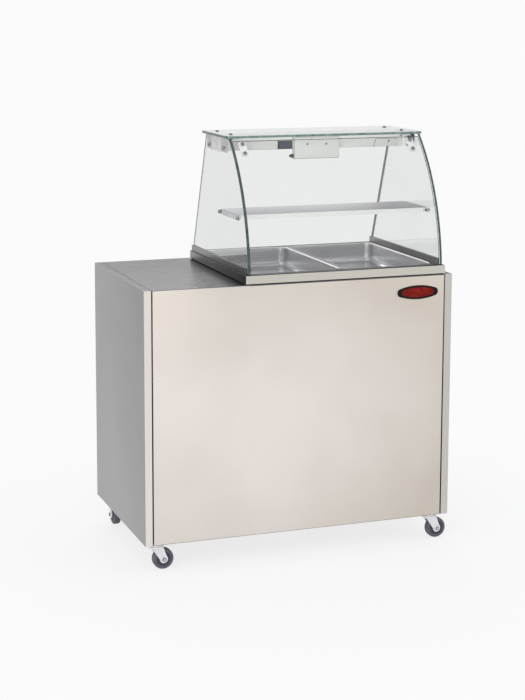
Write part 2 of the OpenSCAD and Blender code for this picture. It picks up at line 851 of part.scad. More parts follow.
// The cap rests pressed in at its negative Y end
module rocker_cap(l) {
  translate([0, 0, -rocker_pivot_in]) rotate([rocker_tilt, 0, 0]) {
    along_x(-rocker_w / 2, rocker_w / 2)
      polygon([
        [-l / 2, -rocker_pivot_in], [l / 2, -rocker_pivot_in],
        [l / 2, rocker_rise], [0, rocker_rise - rocker_dip], [-l / 2, rocker_rise]
      ]);
    translate([-rocker_w / 2 - over, 0, 0]) rotate([0, 90, 0])
      cylinder(d = rocker_pin_d, h = rocker_w + 2 * over);
  }
}

module at_mains_switch() {
  translate([switch_x, fascia_y, control_z]) rotate([-90, 0, 0]) children();
}

module at_lamp_switch() {
  translate([mid_x + lamp_rocker_x, gantry_y0, lamp_rocker_z])
    rotate([90, 0, 0]) rotate([0, 0, 90]) children();
}

module switch_frames() {
  color(black_plastic) {
    at_mains_switch() rocker_frame(mains_rocker_l);
    at_lamp_switch() rocker_frame(lamp_rocker_l);
  }
}
module power_switch() { color("#8e2320") at_mains_switch() rocker_cap(mains_rocker_l); }
module gantry_rocker() { color("#33335a") at_lamp_switch() rocker_cap(lamp_rocker_l); }

// Doors

module door_pivots() {
  color(zinc) for (side = [-1, 1]) for (end = [0, 1])
    translate([side * pivot_x, door_y, end == 0 ? floor_z + sheet_t : fascia_z])
      mirror([0, 0, end]) {
        cylinder(d = pivot_d + 2 * pivot_collar_w, h = pivot_collar_h);
        cylinder(d = pivot_d, h = pivot_collar_h + fit_gap + pivot_len);
      }
}

module pull_cut(grow, depth) {
  translate([-pull_x, door_y1, pull_z])
    block([-pull_w / 2 - grow, -depth, -pull_h / 2 - grow], [pull_w / 2 + grow, over, pull_h / 2 + grow]);
}

module door_leaf() {
  difference() {
    translate([0, 0, door_z0]) linear_extrude(door_z1 - door_z0) {
      translate([-pivot_x, door_y]) circle(d = door_t);
      translate([-pivot_x, door_y - door_t / 2]) square([pivot_x - door_gap / 2, door_t]);
    }
    block([-pivot_x + door_t, door_y - door_t / 2 + sheet_t, door_z0 + sheet_t],
      [-door_gap / 2 - sheet_t, door_y1 - sheet_t, door_z1 - sheet_t]);
    pull_cut(fit_gap, sheet_t + over);
    for (end = [0, 1]) translate([-pivot_x, door_y, end == 0 ? door_z0 : door_z1])
      mirror([0, 0, end]) translate([0, 0, -over])
        cylinder(d = pivot_d + 2 * run_fit, h = pivot_len + 1 + over);
  }
}
module door_left() { color(panel_grey) door_leaf(); }
module door_right() { color(panel_grey) mirror([1, 0, 0]) door_leaf(); }

module pull_cup() {
  difference() {
    union() {
      pull_cut(0, pull_deep);
      translate([-pull_x, door_y1, pull_z])
        block([-pull_w / 2 - pull_flange, 0, -pull_h / 2 - pull_flange],
          [pull_w / 2 + pull_flange, 1, pull_h / 2 + pull_flange]);
    }
    translate([0, over, 0]) pull_cut(-sheet_t, pull_deep - sheet_t + over);
  }
}
module door_pull_left() { color(dark_steel) pull_cup(); }
module door_pull_right() { color(dark_steel) mirror([1, 0, 0]) pull_cup(); }

// Display base, well and pans

module base_gasket() {
  x = base_w / 2 - seal_inset;
  y0 = base_y0 + seal_inset;
  y1 = base_y1 - seal_inset;
  color(black_plastic) translate([mid_x, 0, 0]) difference() {
    block([-x, y0, worktop_z], [x, y1, worktop_z + seal_h]);
    block([-x + seal_w, y0 + seal_w, worktop_z - over],
      [x - seal_w, y1 - seal_w, worktop_z + seal_h + over]);
  }
}

module display_base() {
  x = base_w / 2;
  z0 = worktop_z + seal_h;
  color(steel) translate([mid_x, 0, 0]) difference() {
    block([-x, base_y0, z0], [x, base_y1, base_top]);
    block([-x + sheet_t, base_y0 + sheet_t, z0 + sheet_t],
      [x - sheet_t, base_y1 - sheet_t, base_top - sheet_t]);
    block([-x + sheet_t + base_foot, base_y0 + sheet_t + base_foot, z0 - over],
      [x - sheet_t - base_foot, base_y1 - sheet_t - base_foot, z0 + 2 * sheet_t]);
    for (side = [-1, 1]) translate([side * pan_x, pan_y, 0])
      round_block(hole_w, hole_l, hole_r, base_top - 2 * sheet_t, base_top + over);
  }
}

module well_tank() {
  color(steel) translate([mid_x, 0, 0]) difference() {
    block([-well_x - sheet_t, well_y0 - sheet_t, well_floor],
      [well_x + sheet_t, well_y1 + sheet_t, well_top]);
    block([-well_x, well_y0, well_floor + sheet_t], [well_x, well_y1, well_top + over]);
    for (side = [-1, 1]) for (end = [-1, 1])
      translate([side * pan_x + end * element_bend_r, well_y1 + sheet_t + over, element_z])
        rotate([90, 0, 0]) cylinder(d = element_d + 2 * fit_gap, h = sheet_t + 2 * over);
  }
}

// Each element is a U of tube that enters through the back wall of the well
module heating_elements() {
  bend_y = well_y0 + element_setback + element_bend_r;
  end_y = well_y1 + sheet_t + element_tail;
  nut_d = element_d + 2 * element_nut;
  color(dark_steel) for (side = [-1, 1]) translate([mid_x + side * pan_x, 0, element_z]) {
    translate([0, bend_y, 0]) rotate([0, 0, 180])
      rotate_extrude(angle = 180) translate([element_bend_r, 0]) circle(d = element_d);
    for (x = [-element_bend_r, element_bend_r]) {
      translate([x, end_y, 0]) rotate([90, 0, 0]) cylinder(d = element_d, h = end_y - bend_y);
      for (y = [well_y1, well_y1 + sheet_t + element_nut_h])
        translate([x, y, 0]) rotate([90, 0, 0]) cylinder(d = nut_d, h = element_nut_h);
    }
  }
}

module pan(side) {
  body_w = pan_w - 2 * pan_rim;
  body_l = pan_l - 2 * pan_rim;
  color("#c9c9cc") translate([mid_x + side * pan_x, pan_y, base_top]) difference() {
    union() {
      round_block(pan_w, pan_l, pan_rim, 0, pan_t);
      round_block(body_w, body_l, pan_corner_r, -pan_depth, over / 2);
    }
    round_block(body_w - 2 * pan_t, body_l - 2 * pan_t, pan_corner_r - pan_t,
      pan_t - pan_depth, pan_t + over);
  }
}
module pan_left() { pan(-1); }
module pan_right() { pan(1); }

// Glass of the display

module glass_channels() {
  slot = side_glass_t / 2 + channel_fit;
  x = (glass_in_x + glass_out_x) / 2;
  y0 = base_y0 + channel_inset;
  y1 = base_y1 - glass_back_inset;
  color(dark_steel) both_sides() difference() {
    block([x - slot - channel_wall, y0, base_top], [x + slot + channel_wall, y1, base_top + channel_h]);
    block([x - slot, y0 - over, glass_foot_z], [x + slot, y1 + over, base_top + channel_h + over]);
  }
}

module side_profile() {
  intersection() {
    translate([arc_y, arc_z]) circle(r = glass_r, $fn = glass_fn);
    polygon([
      [base_y0, glass_foot_z], [back_edge(glass_foot_z), glass_foot_z],
      [back_edge(glass_head_z), glass_head_z], [base_y0, glass_head_z]
    ]);
  }
}

// Places the screws through a side glass, as [y, z], seen from the right
function side_screws() = [
  [clip_front_y0 + clip_front_w / 2, top_under - clip_screw_down],
  [clip_rear_y0 + clip_rear_w / 2, top_under - clip_screw_down],
  [rail_y - rail_bolt_pitch / 2, rail_bolt_z],
  [rail_y + rail_bolt_pitch / 2, rail_bolt_z]
];

module side_glass() {
  difference() {
    along_x(glass_in_x, glass_out_x) side_profile();
    for (p = side_screws()) translate([glass_in_x, p[0], p[1]])
      rotate([0, 90, 0]) bolt_hole(6 * side_glass_t);
  }
}
module side_glass_left() {
  color(glass_tint, 0.5) translate([mid_x, 0, 0]) mirror([1, 0, 0]) side_glass();
}
module side_glass_right() { color(glass_tint, 0.5) translate([mid_x, 0, 0]) side_glass(); }

module top_glass() {
  x = base_w / 2;
  color(glass_tint, 0.5) translate([mid_x, 0, 0]) difference() {
    translate([0, (top_y0 + top_y1) / 2, 0])
      round_block(2 * x, top_y1 - top_y0, top_corner_r, top_under, top_under + top_glass_t);
    for (side = [-1, 1]) for (y = [clip_front_bolt_y, clip_rear_bolt_y])
      translate([side * bolt_x, y, top_under]) bolt_hole(4 * top_glass_t);
  }
}

module clip(y0, y1, bolt_y, screw_y) {
  difference() {
    union() {
      block([glass_in_x - clip_t, y0, top_under - clip_leg_h], [glass_in_x, y1, top_under]);
      block([glass_in_x - clip_leg_l, y0, top_under - clip_t], [glass_in_x, y1, top_under]);
    }
    translate([bolt_x, bolt_y, top_under]) bolt_hole(4 * clip_t);
    translate([glass_in_x, screw_y, top_under - clip_screw_down]) rotate([0, 90, 0]) bolt_hole(4 * clip_t);
  }
}

module glass_clips() {
  color(zinc) both_sides() {
    clip(clip_front_y0, clip_front_y1, clip_front_bolt_y, side_screws()[0][0]);
    clip(clip_rear_y0, clip_rear_y1, clip_rear_bolt_y, side_screws()[1][0]);
  }
}

module glass_bolts() {
  grips = [clip_t, clip_t, rail_t, rail_t];
  screws = side_screws();
  color(zinc) both_sides() {
    translate([bolt_x, clip_front_bolt_y, top_under + top_glass_t]) glass_bolt(top_glass_t + clip_t + arm_t);
    translate([bolt_x, clip_rear_bolt_y, top_under + top_glass_t]) glass_bolt(top_glass_t + clip_t);
    for (i = [0:3]) translate([glass_out_x, screws[i][0], screws[i][1]])
      rotate([0, 90, 0]) glass_bolt(side_glass_t + grips[i]);
  }
}

// Curved front glass and its hinges

module ring_part(r0, r1, a0, a1) {
  reach = 1.2 * r1;
  translate([arc_y, arc_z]) intersection() {
    difference() {
      circle(r = r1, $fn = glass_fn);
      circle(r = r0, $fn = glass_fn);
    }
    polygon([[0, 0], reach * [-cos(a0), sin(a0)], reach * [-cos(a1), sin(a1)]]);
  }
}

// Turns a piece drawn along Z so that it stands on the curve at angle a
module on_curve(r, a) {
  p = on_arc(r, a);
  translate([0, p[0], p[1]]) rotate([90 - a, 0, 0]) children();
}

hinge_bolt_angles = [hinge_angle, hinge_angle - arc_degrees(hinge_bolt_pitch)];

module front_glass() {
  x = glass_in_x - front_glass_gap;
  low_a = asin((arc_drop + front_glass_lift) / glass_r);
  top_a = hinge_angle + arc_degrees(glass_over_pin);
  color(glass_tint, 0.5) translate([mid_x, 0, 0]) difference() {
    along_x(-x, x) ring_part(glass_r - front_glass_t, glass_r, low_a, top_a);
    for (side = [-1, 1]) for (a = hinge_bolt_angles)
      translate([side * hinge_x, 0, 0]) on_curve(glass_r, a) bolt_hole(4 * front_glass_t);
  }
}

// Goose-necked arm from the front bolt of the top glass to the hinge pin
module hinge_arms() {
  neck_t = arm_t - 0.5;
  color(zinc) both_sides() translate([hinge_x, 0, 0]) difference() {
    union() {
      block([-arm_neck_w / 2 - over, arm_y, arm_z - arm_t / 2],
        [arm_w / 2 + hinge_in - clip_bolt_in, clip_front_y1, arm_z + arm_t / 2]);
      along_x(-arm_neck_w / 2, arm_neck_w / 2) {
        strap([arm_y, arm_z], arm_low, neck_t);
        strap(arm_low, pin_point, neck_t);
        translate(pin_point) circle(r = eye_r);
      }
    }
    translate([-arm_neck_w, pin_point[0], pin_point[1]])
      rotate([0, 90, 0]) cylinder(d = pin_d + 2 * run_fit, h = 2 * arm_neck_w);
    translate([hinge_in - clip_bolt_in, clip_front_bolt_y, arm_z]) bolt_hole(4 * arm_t);
  }
}

module hinge_clamps() {
  in_r = glass_r - front_glass_t - run_fit;
  ear_x = arm_neck_w / 2 + side_fit;
  a0 = hinge_bolt_angles[1] - arc_degrees(clamp_over);
  a1 = hinge_angle + arc_degrees(clamp_over);
  color(zinc) both_sides() translate([hinge_x, 0, 0]) {
    along_x(-clamp_w / 2, clamp_w / 2) ring_part(in_r - clamp_t, in_r, a0, a1);
    for (side = [0, 1]) mirror([side, 0, 0]) along_x(ear_x, ear_x + ear_t) intersection() {
      bar(pin_point, on_arc(in_r, hinge_angle), eye_r * 2);
      translate([arc_y, arc_z]) circle(r = in_r, $fn = glass_fn);
    }
    translate([-ear_x - ear_t - over, pin_point[0], pin_point[1]])
      rotate([0, 90, 0]) cylinder(d = pin_d, h = 2 * (ear_x + ear_t + over));
    for (a = hinge_bolt_angles) on_curve(glass_r + run_fit, a) {
      bolt_head();
      translate([0, 0, -front_glass_t - clamp_t]) cylinder(d = bolt_d, h = front_glass_t + clamp_t + over);
    }
  }
}

// Shelf in the display

module shelf_rails() {
  z1 = shelf_z - shelf_t;
  y = rail_bolt_pitch / 2 + rail_end;
  color(zinc) both_sides() difference() {
    union() {
      block([glass_in_x - rail_t, rail_y - y, z1 - rail_side], [glass_in_x, rail_y + y, z1]);
      block([glass_in_x - rail_leg, rail_y - y, z1 - rail_t], [glass_in_x, rail_y + y, z1]);
    }
    for (i = [2, 3]) translate([glass_in_x, side_screws()[i][0], side_screws()[i][1]])
      rotate([0, 90, 0]) bolt_hole(4 * rail_t);
  }
}

module display_shelf() {
  x = glass_in_x - front_glass_gap;
  lip_x = glass_in_x - rail_leg - shelf_lip_in;
  color(steel) translate([mid_x, 0, 0]) {
    block([-x, shelf_y0, shelf_z - shelf_t], [x, shelf_y1, shelf_z]);
    block([-lip_x, shelf_y0, shelf_z - shelf_lip_h], [lip_x, shelf_y0 + shelf_t, shelf_z]);
    block([-lip_x, shelf_y1 - shelf_t, shelf_z - shelf_rear_h], [lip_x, shelf_y1, shelf_z]);
  }
}

// Lamp gantry under the top glass

module gantry_rail() {
  cut_x = rocker_w / 2 + rocker_wall + fit_gap;
  cut_y = lamp_rocker_l / 2 + rocker_wall + fit_gap;
  color(steel) difference() {
    translate([mid_x, 0, 0]) block([-glass_in_x, gantry_y0, gantry_z0], [glass_in_x, gantry_y1, top_under]);
    translate([mid_x, 0, 0])
      block([-glass_in_x - over, gantry_y0 + sheet_t, gantry_z0 - over],
        [glass_in_x + over, gantry_y1 - sheet_t, top_under - sheet_t]);
    at_lamp_switch() block([-cut_x, -cut_y, -sheet_t - over], [cut_x, cut_y, over]);
  }
}

module gantry_box() {
  x0 = mid_x + wire_box_x - wire_box_w / 2;
  color(steel) shell_block([x0, wire_box_y0, wire_box_z1 - wire_box_h],
    [x0 + wire_box_w, gantry_y0, wire_box_z1], shelf_t);
}

module gantry_gusset() {
  z0 = gantry_z0;
  color(panel_grey) translate([mid_x + gusset_x0, gantry_y0, 0]) rotate([90, 0, 0])
    linear_extrude(gusset_t)
      polygon([[0, z0], [gusset_w, z0], [gusset_w, z0 + gusset_h], [gusset_h / 3, z0 + gusset_h]]);
}

module screw_head(x, y, z) {
  translate([x, y, z]) rotate([90, 0, 0])
    cylinder(d1 = small_screw_d, d2 = small_screw_d - small_screw_h, h = small_screw_h);
}

module gantry_screws() {
  box_mid = mid_x + wire_box_x;
  color(dark_steel) {
    for (x = [-box_screw_pitch, box_screw_pitch] / 2)
      screw_head(box_mid + x, wire_box_y0, wire_box_z1 - box_screw_down);
    screw_head(mid_x + gusset_x0 + gusset_screw_in, gantry_y0 - gusset_t, gantry_z0 + gusset_screw_rise);
  }
}

module cable_gland() {
  x0 = mid_x + wire_box_x - wire_box_w / 2;
  y = (wire_box_y0 + gantry_y0) / 2;
  color(black_plastic) translate([x0, y, wire_box_z1 - wire_box_h + gland_rise]) rotate([0, -90, 0]) {
    cylinder(d = gland_d, h = gland_nut_h, $fn = 6);
    cylinder(d1 = 0.85 * gland_d, d2 = 0.6 * gland_d, h = gland_l);
  }
}

module lamp_holders() {
  hang_z = top_under - sheet_t;
  color("#e4e2dc") both_sides() difference() {
    block([lamp_l / 2 - holder_grip, lamp_y - holder_w / 2, lamp_z - lamp_d],
      [lamp_l / 2 + lamp_d / 2, lamp_y + holder_w / 2, hang_z]);
    translate([lamp_l / 2 - holder_grip - over, lamp_y, lamp_z]) rotate([0, 90, 0])
      cylinder(d = lamp_d + 2 * run_fit, h = holder_grip + over + fit_gap);
  }
}

module lamp_tube() {
  color("#f4f0e4") translate([mid_x - lamp_l / 2, lamp_y, lamp_z]) rotate([0, 90, 0])
    cylinder(d = lamp_d, h = lamp_l);
}

// Casters

module at_caster(i) {
  translate([casters[i][0], casters[i][1], 0]) rotate([0, 0, casters[i][2]]) children();
}

module caster_mounts() {
  color(zinc) for (c = casters) translate([c[0], c[1], 0]) difference() {
    union() {
      translate([0, 0, swivel_z]) cylinder(d = swivel_d, h = swivel_h);
      translate([0, 0, caster_h - over]) cylinder(d = stem_d, h = over + sheet_t + nut_h + over);
    }
    translate([0, 0, swivel_z - over]) cylinder(d = kingpin_d + 2 * run_fit, h = kingpin_len + over);
  }
}

module caster_nuts() {
  color(dark_steel) for (c = casters) translate([c[0], c[1], caster_h + sheet_t]) difference() {
    cylinder(d = nut_w / cos(30), h = nut_h, $fn = 6);
    translate([0, 0, -over]) cylinder(d = stem_d + 2 * run_fit, h = nut_h + 2 * over);
  }
}

module caster_fork(i) {
  axle_point = [trail, wheel_r];
  axle_reach = fork_in + fork_t;
  color(zinc) at_caster(i) {
    difference() {
      union() {
        translate([0, 0, crown_z]) cylinder(d = swivel_d + 2 * crown_over, h = crown_t);
        translate([0, 0, crown_z]) cylinder(d = kingpin_d, h = crown_t + kingpin_len);
        block([-fork_ahead, -axle_reach, crown_z], [fork_behind, axle_reach, crown_z + fork_web]);
        for (y = [-axle_reach, fork_in]) translate([0, y + fork_t, 0]) rotate([90, 0, 0])
          linear_extrude(fork_t) {
            polygon([
              [-fork_ahead, crown_z + fork_web], [fork_behind, crown_z + fork_web],
              axle_point + 0.9 * boss_r * [cos(24), sin(24)],
              axle_point - 0.9 * boss_r * [cos(32), sin(32)]
            ]);
            translate(axle_point) circle(r = boss_r);
          }
      }
      translate([trail, axle_reach + over, wheel_r]) rotate([90, 0, 0])
        cylinder(d = axle_d, h = 2 * (axle_reach + over));
    }
    translate([trail, axle_reach, wheel_r]) rotate([90, 0, 0]) cylinder(d = axle_d, h = 2 * axle_reach);
    for (side = [0, 1]) mirror([0, side, 0]) translate([trail, axle_reach + axle_nut_h, wheel_r])
      rotate([90, 0, 0]) cylinder(d = axle_d + axle_nut_h, h = axle_nut_h, $fn = 6);
  }
}

module caster_hub(i) {
  core_d = axle_d + 2 * hub_wall;
  color("#9b9ca3") at_caster(i) translate([trail, 0, wheel_r]) rotate([90, 0, 0]) difference() {
    translate([0, 0, -wheel_w / 2 - hub_over]) cylinder(d = core_d, h = wheel_w + 2 * hub_over);
    translate([0, 0, -wheel_w]) cylinder(d = axle_d + 2 * run_fit, h = 2 * wheel_w);
  }
  color("#9b9ca3") at_caster(i) translate([trail, 0, wheel_r]) rotate([90, 0, 0]) difference() {
    translate([0, 0, -wheel_w / 2 + hub_recess]) cylinder(d = hub_d, h = wheel_w - 2 * hub_recess);
    translate([0, 0, -wheel_w]) cylinder(d = (axle_d + core_d) / 2, h = 2 * wheel_w);
  }
}

module caster_tyre(i) {
  color(slate) at_caster(i) translate([trail, 0, wheel_r]) rotate([90, 0, 0]) rotate_extrude()
    difference() {
      union() {
        translate([0, -wheel_w / 2 + tyre_edge]) square([wheel_r, wheel_w - 2 * tyre_edge]);
        translate([0, -wheel_w / 2]) square([wheel_r - tyre_edge, wheel_w]);
        for (y = [-1, 1]) translate([wheel_r - tyre_edge, y * (wheel_w / 2 - tyre_edge)])
          circle(r = tyre_edge);
      }
      translate([-wheel_r, -wheel_w]) square([wheel_r + hub_d / 2, 2 * wheel_w]);
    }
}

module caster_fork_front_left() { caster_fork(0); }
module caster_fork_front_right() { caster_fork(1); }
module caster_fork_rear_left() { caster_fork(2); }
module caster_fork_rear_right() { caster_fork(3); }
module caster_hub_front_left() { caster_hub(0); }
module caster_hub_front_right() { caster_hub(1); }
module caster_hub_rear_left() { caster_hub(2); }
module caster_hub_rear_right() { caster_hub(3); }
module caster_tyre_front_left() { caster_tyre(0); }
module caster_tyre_front_right() { caster_tyre(1); }
module caster_tyre_rear_left() { caster_tyre(2); }
module caster_tyre_rear_right() { caster_tyre(3); }

side_panel_left();
side_panel_right();
front_panel();
worktop();
cabinet_floor();
control_fascia();
plate_shelf();
shelf_ledges();
badge_plate();
door_pivots();
control_housing();
thermostat_body();
indicator_lamp();
power_inlet();
switch_frames();
well_tank();
heating_elements();
display_base();
base_gasket();
glass_channels();
side_glass_left();
side_glass_right();
top_glass();
glass_clips();
glass_bolts();
display_shelf();
shelf_rails();
gantry_rail();
gantry_box();
gantry_gusset();
gantry_screws();
cable_gland();
lamp_tube();
lamp_holders();
hinge_arms();
caster_mounts();
caster_nuts();
front_glass();
hinge_clamps();
gantry_rocker();
power_switch();
thermostat_knob();
pan_left();
pan_right();
door_left();
door_right();
door_pull_left();
door_pull_right();
caster_fork_front_left();
caster_fork_front_right();
caster_fork_rear_left();
caster_fork_rear_right();
caster_hub_front_left();
caster_hub_front_right();
caster_hub_rear_left();
caster_hub_rear_right();
caster_tyre_front_left();
caster_tyre_front_right();
caster_tyre_rear_left();
caster_tyre_rear_right();
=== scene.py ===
import json
import bmesh
import bpy
from math import atan2, cos, hypot, pi, radians, sin
from mathutils import Matrix, Vector

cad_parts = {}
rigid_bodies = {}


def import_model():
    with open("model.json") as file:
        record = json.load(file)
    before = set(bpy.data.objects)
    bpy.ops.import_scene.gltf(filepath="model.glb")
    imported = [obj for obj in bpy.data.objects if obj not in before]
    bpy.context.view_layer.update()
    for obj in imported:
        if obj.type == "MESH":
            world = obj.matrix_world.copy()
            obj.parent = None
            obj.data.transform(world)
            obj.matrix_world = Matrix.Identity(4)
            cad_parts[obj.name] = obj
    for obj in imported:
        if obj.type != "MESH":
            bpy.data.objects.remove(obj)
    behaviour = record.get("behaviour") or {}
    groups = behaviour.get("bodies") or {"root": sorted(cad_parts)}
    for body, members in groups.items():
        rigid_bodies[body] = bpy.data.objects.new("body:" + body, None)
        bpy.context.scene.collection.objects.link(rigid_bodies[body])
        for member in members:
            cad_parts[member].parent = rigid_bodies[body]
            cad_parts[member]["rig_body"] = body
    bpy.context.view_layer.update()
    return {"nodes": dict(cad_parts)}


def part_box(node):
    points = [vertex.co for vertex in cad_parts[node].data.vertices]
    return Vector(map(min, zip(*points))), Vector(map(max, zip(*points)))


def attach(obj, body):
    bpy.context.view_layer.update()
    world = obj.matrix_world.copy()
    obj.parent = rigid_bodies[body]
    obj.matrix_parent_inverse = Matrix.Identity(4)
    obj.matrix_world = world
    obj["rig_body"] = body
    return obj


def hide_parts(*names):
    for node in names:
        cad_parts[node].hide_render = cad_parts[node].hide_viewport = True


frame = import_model()
nodes = frame["nodes"]
print("frame loaded:", len(nodes), "nodes")

mm = 0.001
corners = ("front_left", "front_right", "rear_left", "rear_right")


# What the shader and geometry trees are built from

def feed(tree, inputs, values):  # an output is linked, anything else is set on the socket
    for key, value in values.items():
        if isinstance(value, bpy.types.NodeSocket):
            tree.links.new(value, inputs[key])
        elif inputs[key].type == "RGBA":
            inputs[key].default_value = (*value, 1)
        else:
            inputs[key].default_value = value


def addNode(tree, kind, values, operation=None):
    node = tree.nodes.new(kind)
    if operation:
        node.operation = operation
    feed(tree, node.inputs, values)
    return node


def addMath(tree, operation, first, second=0.0, clamp=False):
    node = addNode(tree, "ShaderNodeMath", {0: first, 1: second}, operation)
    node.use_clamp = clamp
    return node.outputs[0]


def addVector(tree, operation, first, second=(0, 0, 0)):
    key = "Scale" if operation == "SCALE" else 1
    node = addNode(tree, "ShaderNodeVectorMath", {0: first, key: second}, operation)
    return node.outputs["Value" if operation in ("DOT_PRODUCT", "LENGTH") else "Vector"]


patterns = {  # features to the metre, detail and roughness of each noise
    "streak": (1.0, 3.0, 0.6), "cloud": (4.5, 3.0, 0.55), "smear": (17.0, 5.0, 0.7),
    "pore": (900.0, 2.0, 0.5), "scuff": (55.0, 6.0, 0.7), "patch": (2.6, 2.0, 0.5),
    "film": (7.0, 4.0, 0.55), "smudge": (21.0, 5.0, 0.7),
    "edgeWave": (60.0, 3.0, 0.55), "edgeGrain": (400.0, 2.0, 0.55),
}
maskRanges = {  # what part of a noise a mask is cut from
    "scuff": (0.5, 0.75), "film": (0.35, 0.65), "smudge": (0.55, 0.8),
    "edgeWave": (0.3, 0.75), "edgeGrain": (0.2, 0.8),
}


def addNoise(tree, vector, pattern):
    scale, detail, roughness = patterns[pattern]
    return addNode(tree, "ShaderNodeTexNoise", {
        "Vector": vector, "Scale": scale, "Detail": detail, "Roughness": roughness}).outputs["Fac"]


def addSwing(tree, noise, depth, middle=0.5):  # a noise about its middle, times a depth
    return addMath(tree, "MULTIPLY", addMath(tree, "SUBTRACT", noise, middle), depth)


def addRange(tree, value, low, high, outLow=0.0, outHigh=1.0):
    return addNode(tree, "ShaderNodeMapRange", {
        "Value": value, "From Min": low, "From Max": high,
        "To Min": outLow, "To Max": outHigh}).outputs["Result"]


def addMask(tree, vector, pattern, outLow=0.0, outHigh=1.0):
    noise = addNoise(tree, vector, pattern)
    return addRange(tree, noise, *maskRanges[pattern], outLow, outHigh)


def addMix(tree, factor, first, second):
    node = tree.nodes.new("ShaderNodeMix")
    node.data_type = "RGBA"
    feed(tree, node.inputs, {0: factor, 6: first, 7: second})  # its colour sockets
    return node.outputs[2]


def mixShaders(tree, factor, first, second):  # takes the place of what the output had
    mix = addNode(tree, "ShaderNodeMixShader", {0: factor, 1: first, 2: second})
    output = next(node for node in tree.nodes if node.bl_idname.startswith("ShaderNodeOutput"))
    tree.links.new(mix.outputs[0], output.inputs["Surface"])


def newTree(kind, name, first, inputs, outputs=(("Geometry", "Geometry"),)):
    tree = bpy.data.node_groups.new(name, kind + "NodeTree")
    for label, form, value in ((first, first, None), *inputs):
        socket = tree.interface.new_socket(label, in_out="INPUT", socket_type="NodeSocket" + form)
        if value is not None:
            socket.default_value = value
    for label, form in outputs:
        tree.interface.new_socket(label, in_out="OUTPUT", socket_type="NodeSocket" + form)
    start, end = tree.nodes.new("NodeGroupInput"), tree.nodes.new("NodeGroupOutput")
    return tree, start.outputs, end.inputs


# Finishes that many materials share
finishOutputs = (("Colour", "Color"), ("Roughness", "Float"), ("Height", "Float"))
smearShare = 0.6  # how much smears change a brushed finish's roughness, against its streaks
scuffRoughness, scuffMiddle = 0.15, 0.3


def brushedGroup():
    tree, start, end = newTree("Shader", "brushedFinish", "Vector", (
        ("Steel Colour", "Color", (0.7, 0.7, 0.7, 1)), ("Brushing", "Vector", (900, 900, 8)),
        ("Streak Depth", "Float", 0.05), ("Cloud Depth", "Float", 0.05),
        ("Roughness", "Float", 0.35), ("Roughness Spread", "Float", 0.1)), finishOutputs)
    place = start["Vector"]
    streak = addNoise(tree, addVector(tree, "MULTIPLY", place, start["Brushing"]), "streak")
    cloud, smear = addNoise(tree, place, "cloud"), addNoise(tree, place, "smear")
    shade = addMath(tree, "ADD", addSwing(tree, streak, start["Streak Depth"]),
                    addSwing(tree, cloud, start["Cloud Depth"]))
    level = addMath(tree, "ADD", 1.0, addMath(tree, "MULTIPLY", shade, 2.0))
    wander = addMath(tree, "ADD", addMath(tree, "SUBTRACT", streak, 0.5),
                     addSwing(tree, smear, smearShare))
    spread = addMath(tree, "MULTIPLY", wander, start["Roughness Spread"])
    feed(tree, end, {
        "Colour": addVector(tree, "SCALE", start["Steel Colour"], level),
        "Roughness": addMath(tree, "ADD", start["Roughness"], spread, True), "Height": streak})
    return tree


def mouldedGroup():
    tree, start, end = newTree("Shader", "mouldedFinish", "Vector", (
        ("Base", "Color", (0.1, 0.1, 0.1, 1)), ("Worn", "Color", (0.3, 0.3, 0.3, 1)),
        ("Wear", "Float", 0.2), ("Roughness", "Float", 0.4)), finishOutputs)
    scuffs = addMask(tree, start["Vector"], "scuff")
    worn = addMath(tree, "MULTIPLY", scuffs, start["Wear"], True)
    rougher = addSwing(tree, scuffs, scuffRoughness, scuffMiddle)
    feed(tree, end, {
        "Colour": addMix(tree, worn, start["Base"], start["Worn"]),
        "Roughness": addMath(tree, "ADD", start["Roughness"], rougher, True),
        "Height": addNoise(tree, start["Vector"], "pore")})
    return tree


# Painted light and shade: a colour passes into a lighter or darker one along a slope, and random
# patches move the border
def shadeAndToneGroup():  # one shade passes into another along a slope that may bend
    tree, start, end = newTree("Shader", "shadeAndToneDrift", "Vector", (
        ("First", "Color", (0.7, 0.7, 0.7, 1)), ("Second", "Color", (0.6, 0.6, 0.6, 1)),
        ("Slope", "Vector", (0, 0, 0)), ("Bend", "Vector", (0, 0, 0)), ("Middle", "Float", 0.5),
        ("Patchiness", "Float", 1.0)), (("Colour", "Color"),))
    place = start["Vector"]
    square = addVector(tree, "MULTIPLY", place, place)
    lean = addMath(tree, "ADD", addVector(tree, "DOT_PRODUCT", place, start["Slope"]),
                   addVector(tree, "DOT_PRODUCT", square, start["Bend"]))
    drift = addSwing(tree, addNoise(tree, place, "patch"), start["Patchiness"])
    amount = addMath(tree, "ADD", addMath(tree, "ADD", lean, start["Middle"]), drift, True)
    feed(tree, end, {"Colour": addMix(tree, amount, start["First"], start["Second"])})
    return tree


groups = {"brushed": brushedGroup(), "moulded": mouldedGroup(), "shadeAndTone": shadeAndToneGroup()}


def startMaterial(name):
    material = bpy.data.materials.new(name)
    material.use_nodes = True
    tree = material.node_tree
    tree.nodes.clear()
    output = tree.nodes.new("ShaderNodeOutputMaterial")
    shader = tree.nodes.new("ShaderNodeBsdfPrincipled")
    tree.links.new(shader.outputs[0], output.inputs["Surface"])
    place = tree.nodes.new("ShaderNodeTexCoord").outputs["Object"]
    return material, tree, shader, place


def placeGroup(tree, kind, place, values):
    node = tree.nodes.new("ShaderNodeGroup")
    node.node_tree = groups[kind]
    feed(tree, node.inputs, {"Vector": place, **values})
    return node.outputs


def joinFinish(tree, shader, finish, look):
    bump = addNode(tree, "ShaderNodeBump", {
        "Strength": look["bump"], "Distance": look["bumpDepth"], "Height": finish["Height"]})
    feed(tree, shader.inputs, {"Base Color": finish["Colour"], "Roughness": finish["Roughness"],
                               "Normal": bump.outputs[0]})
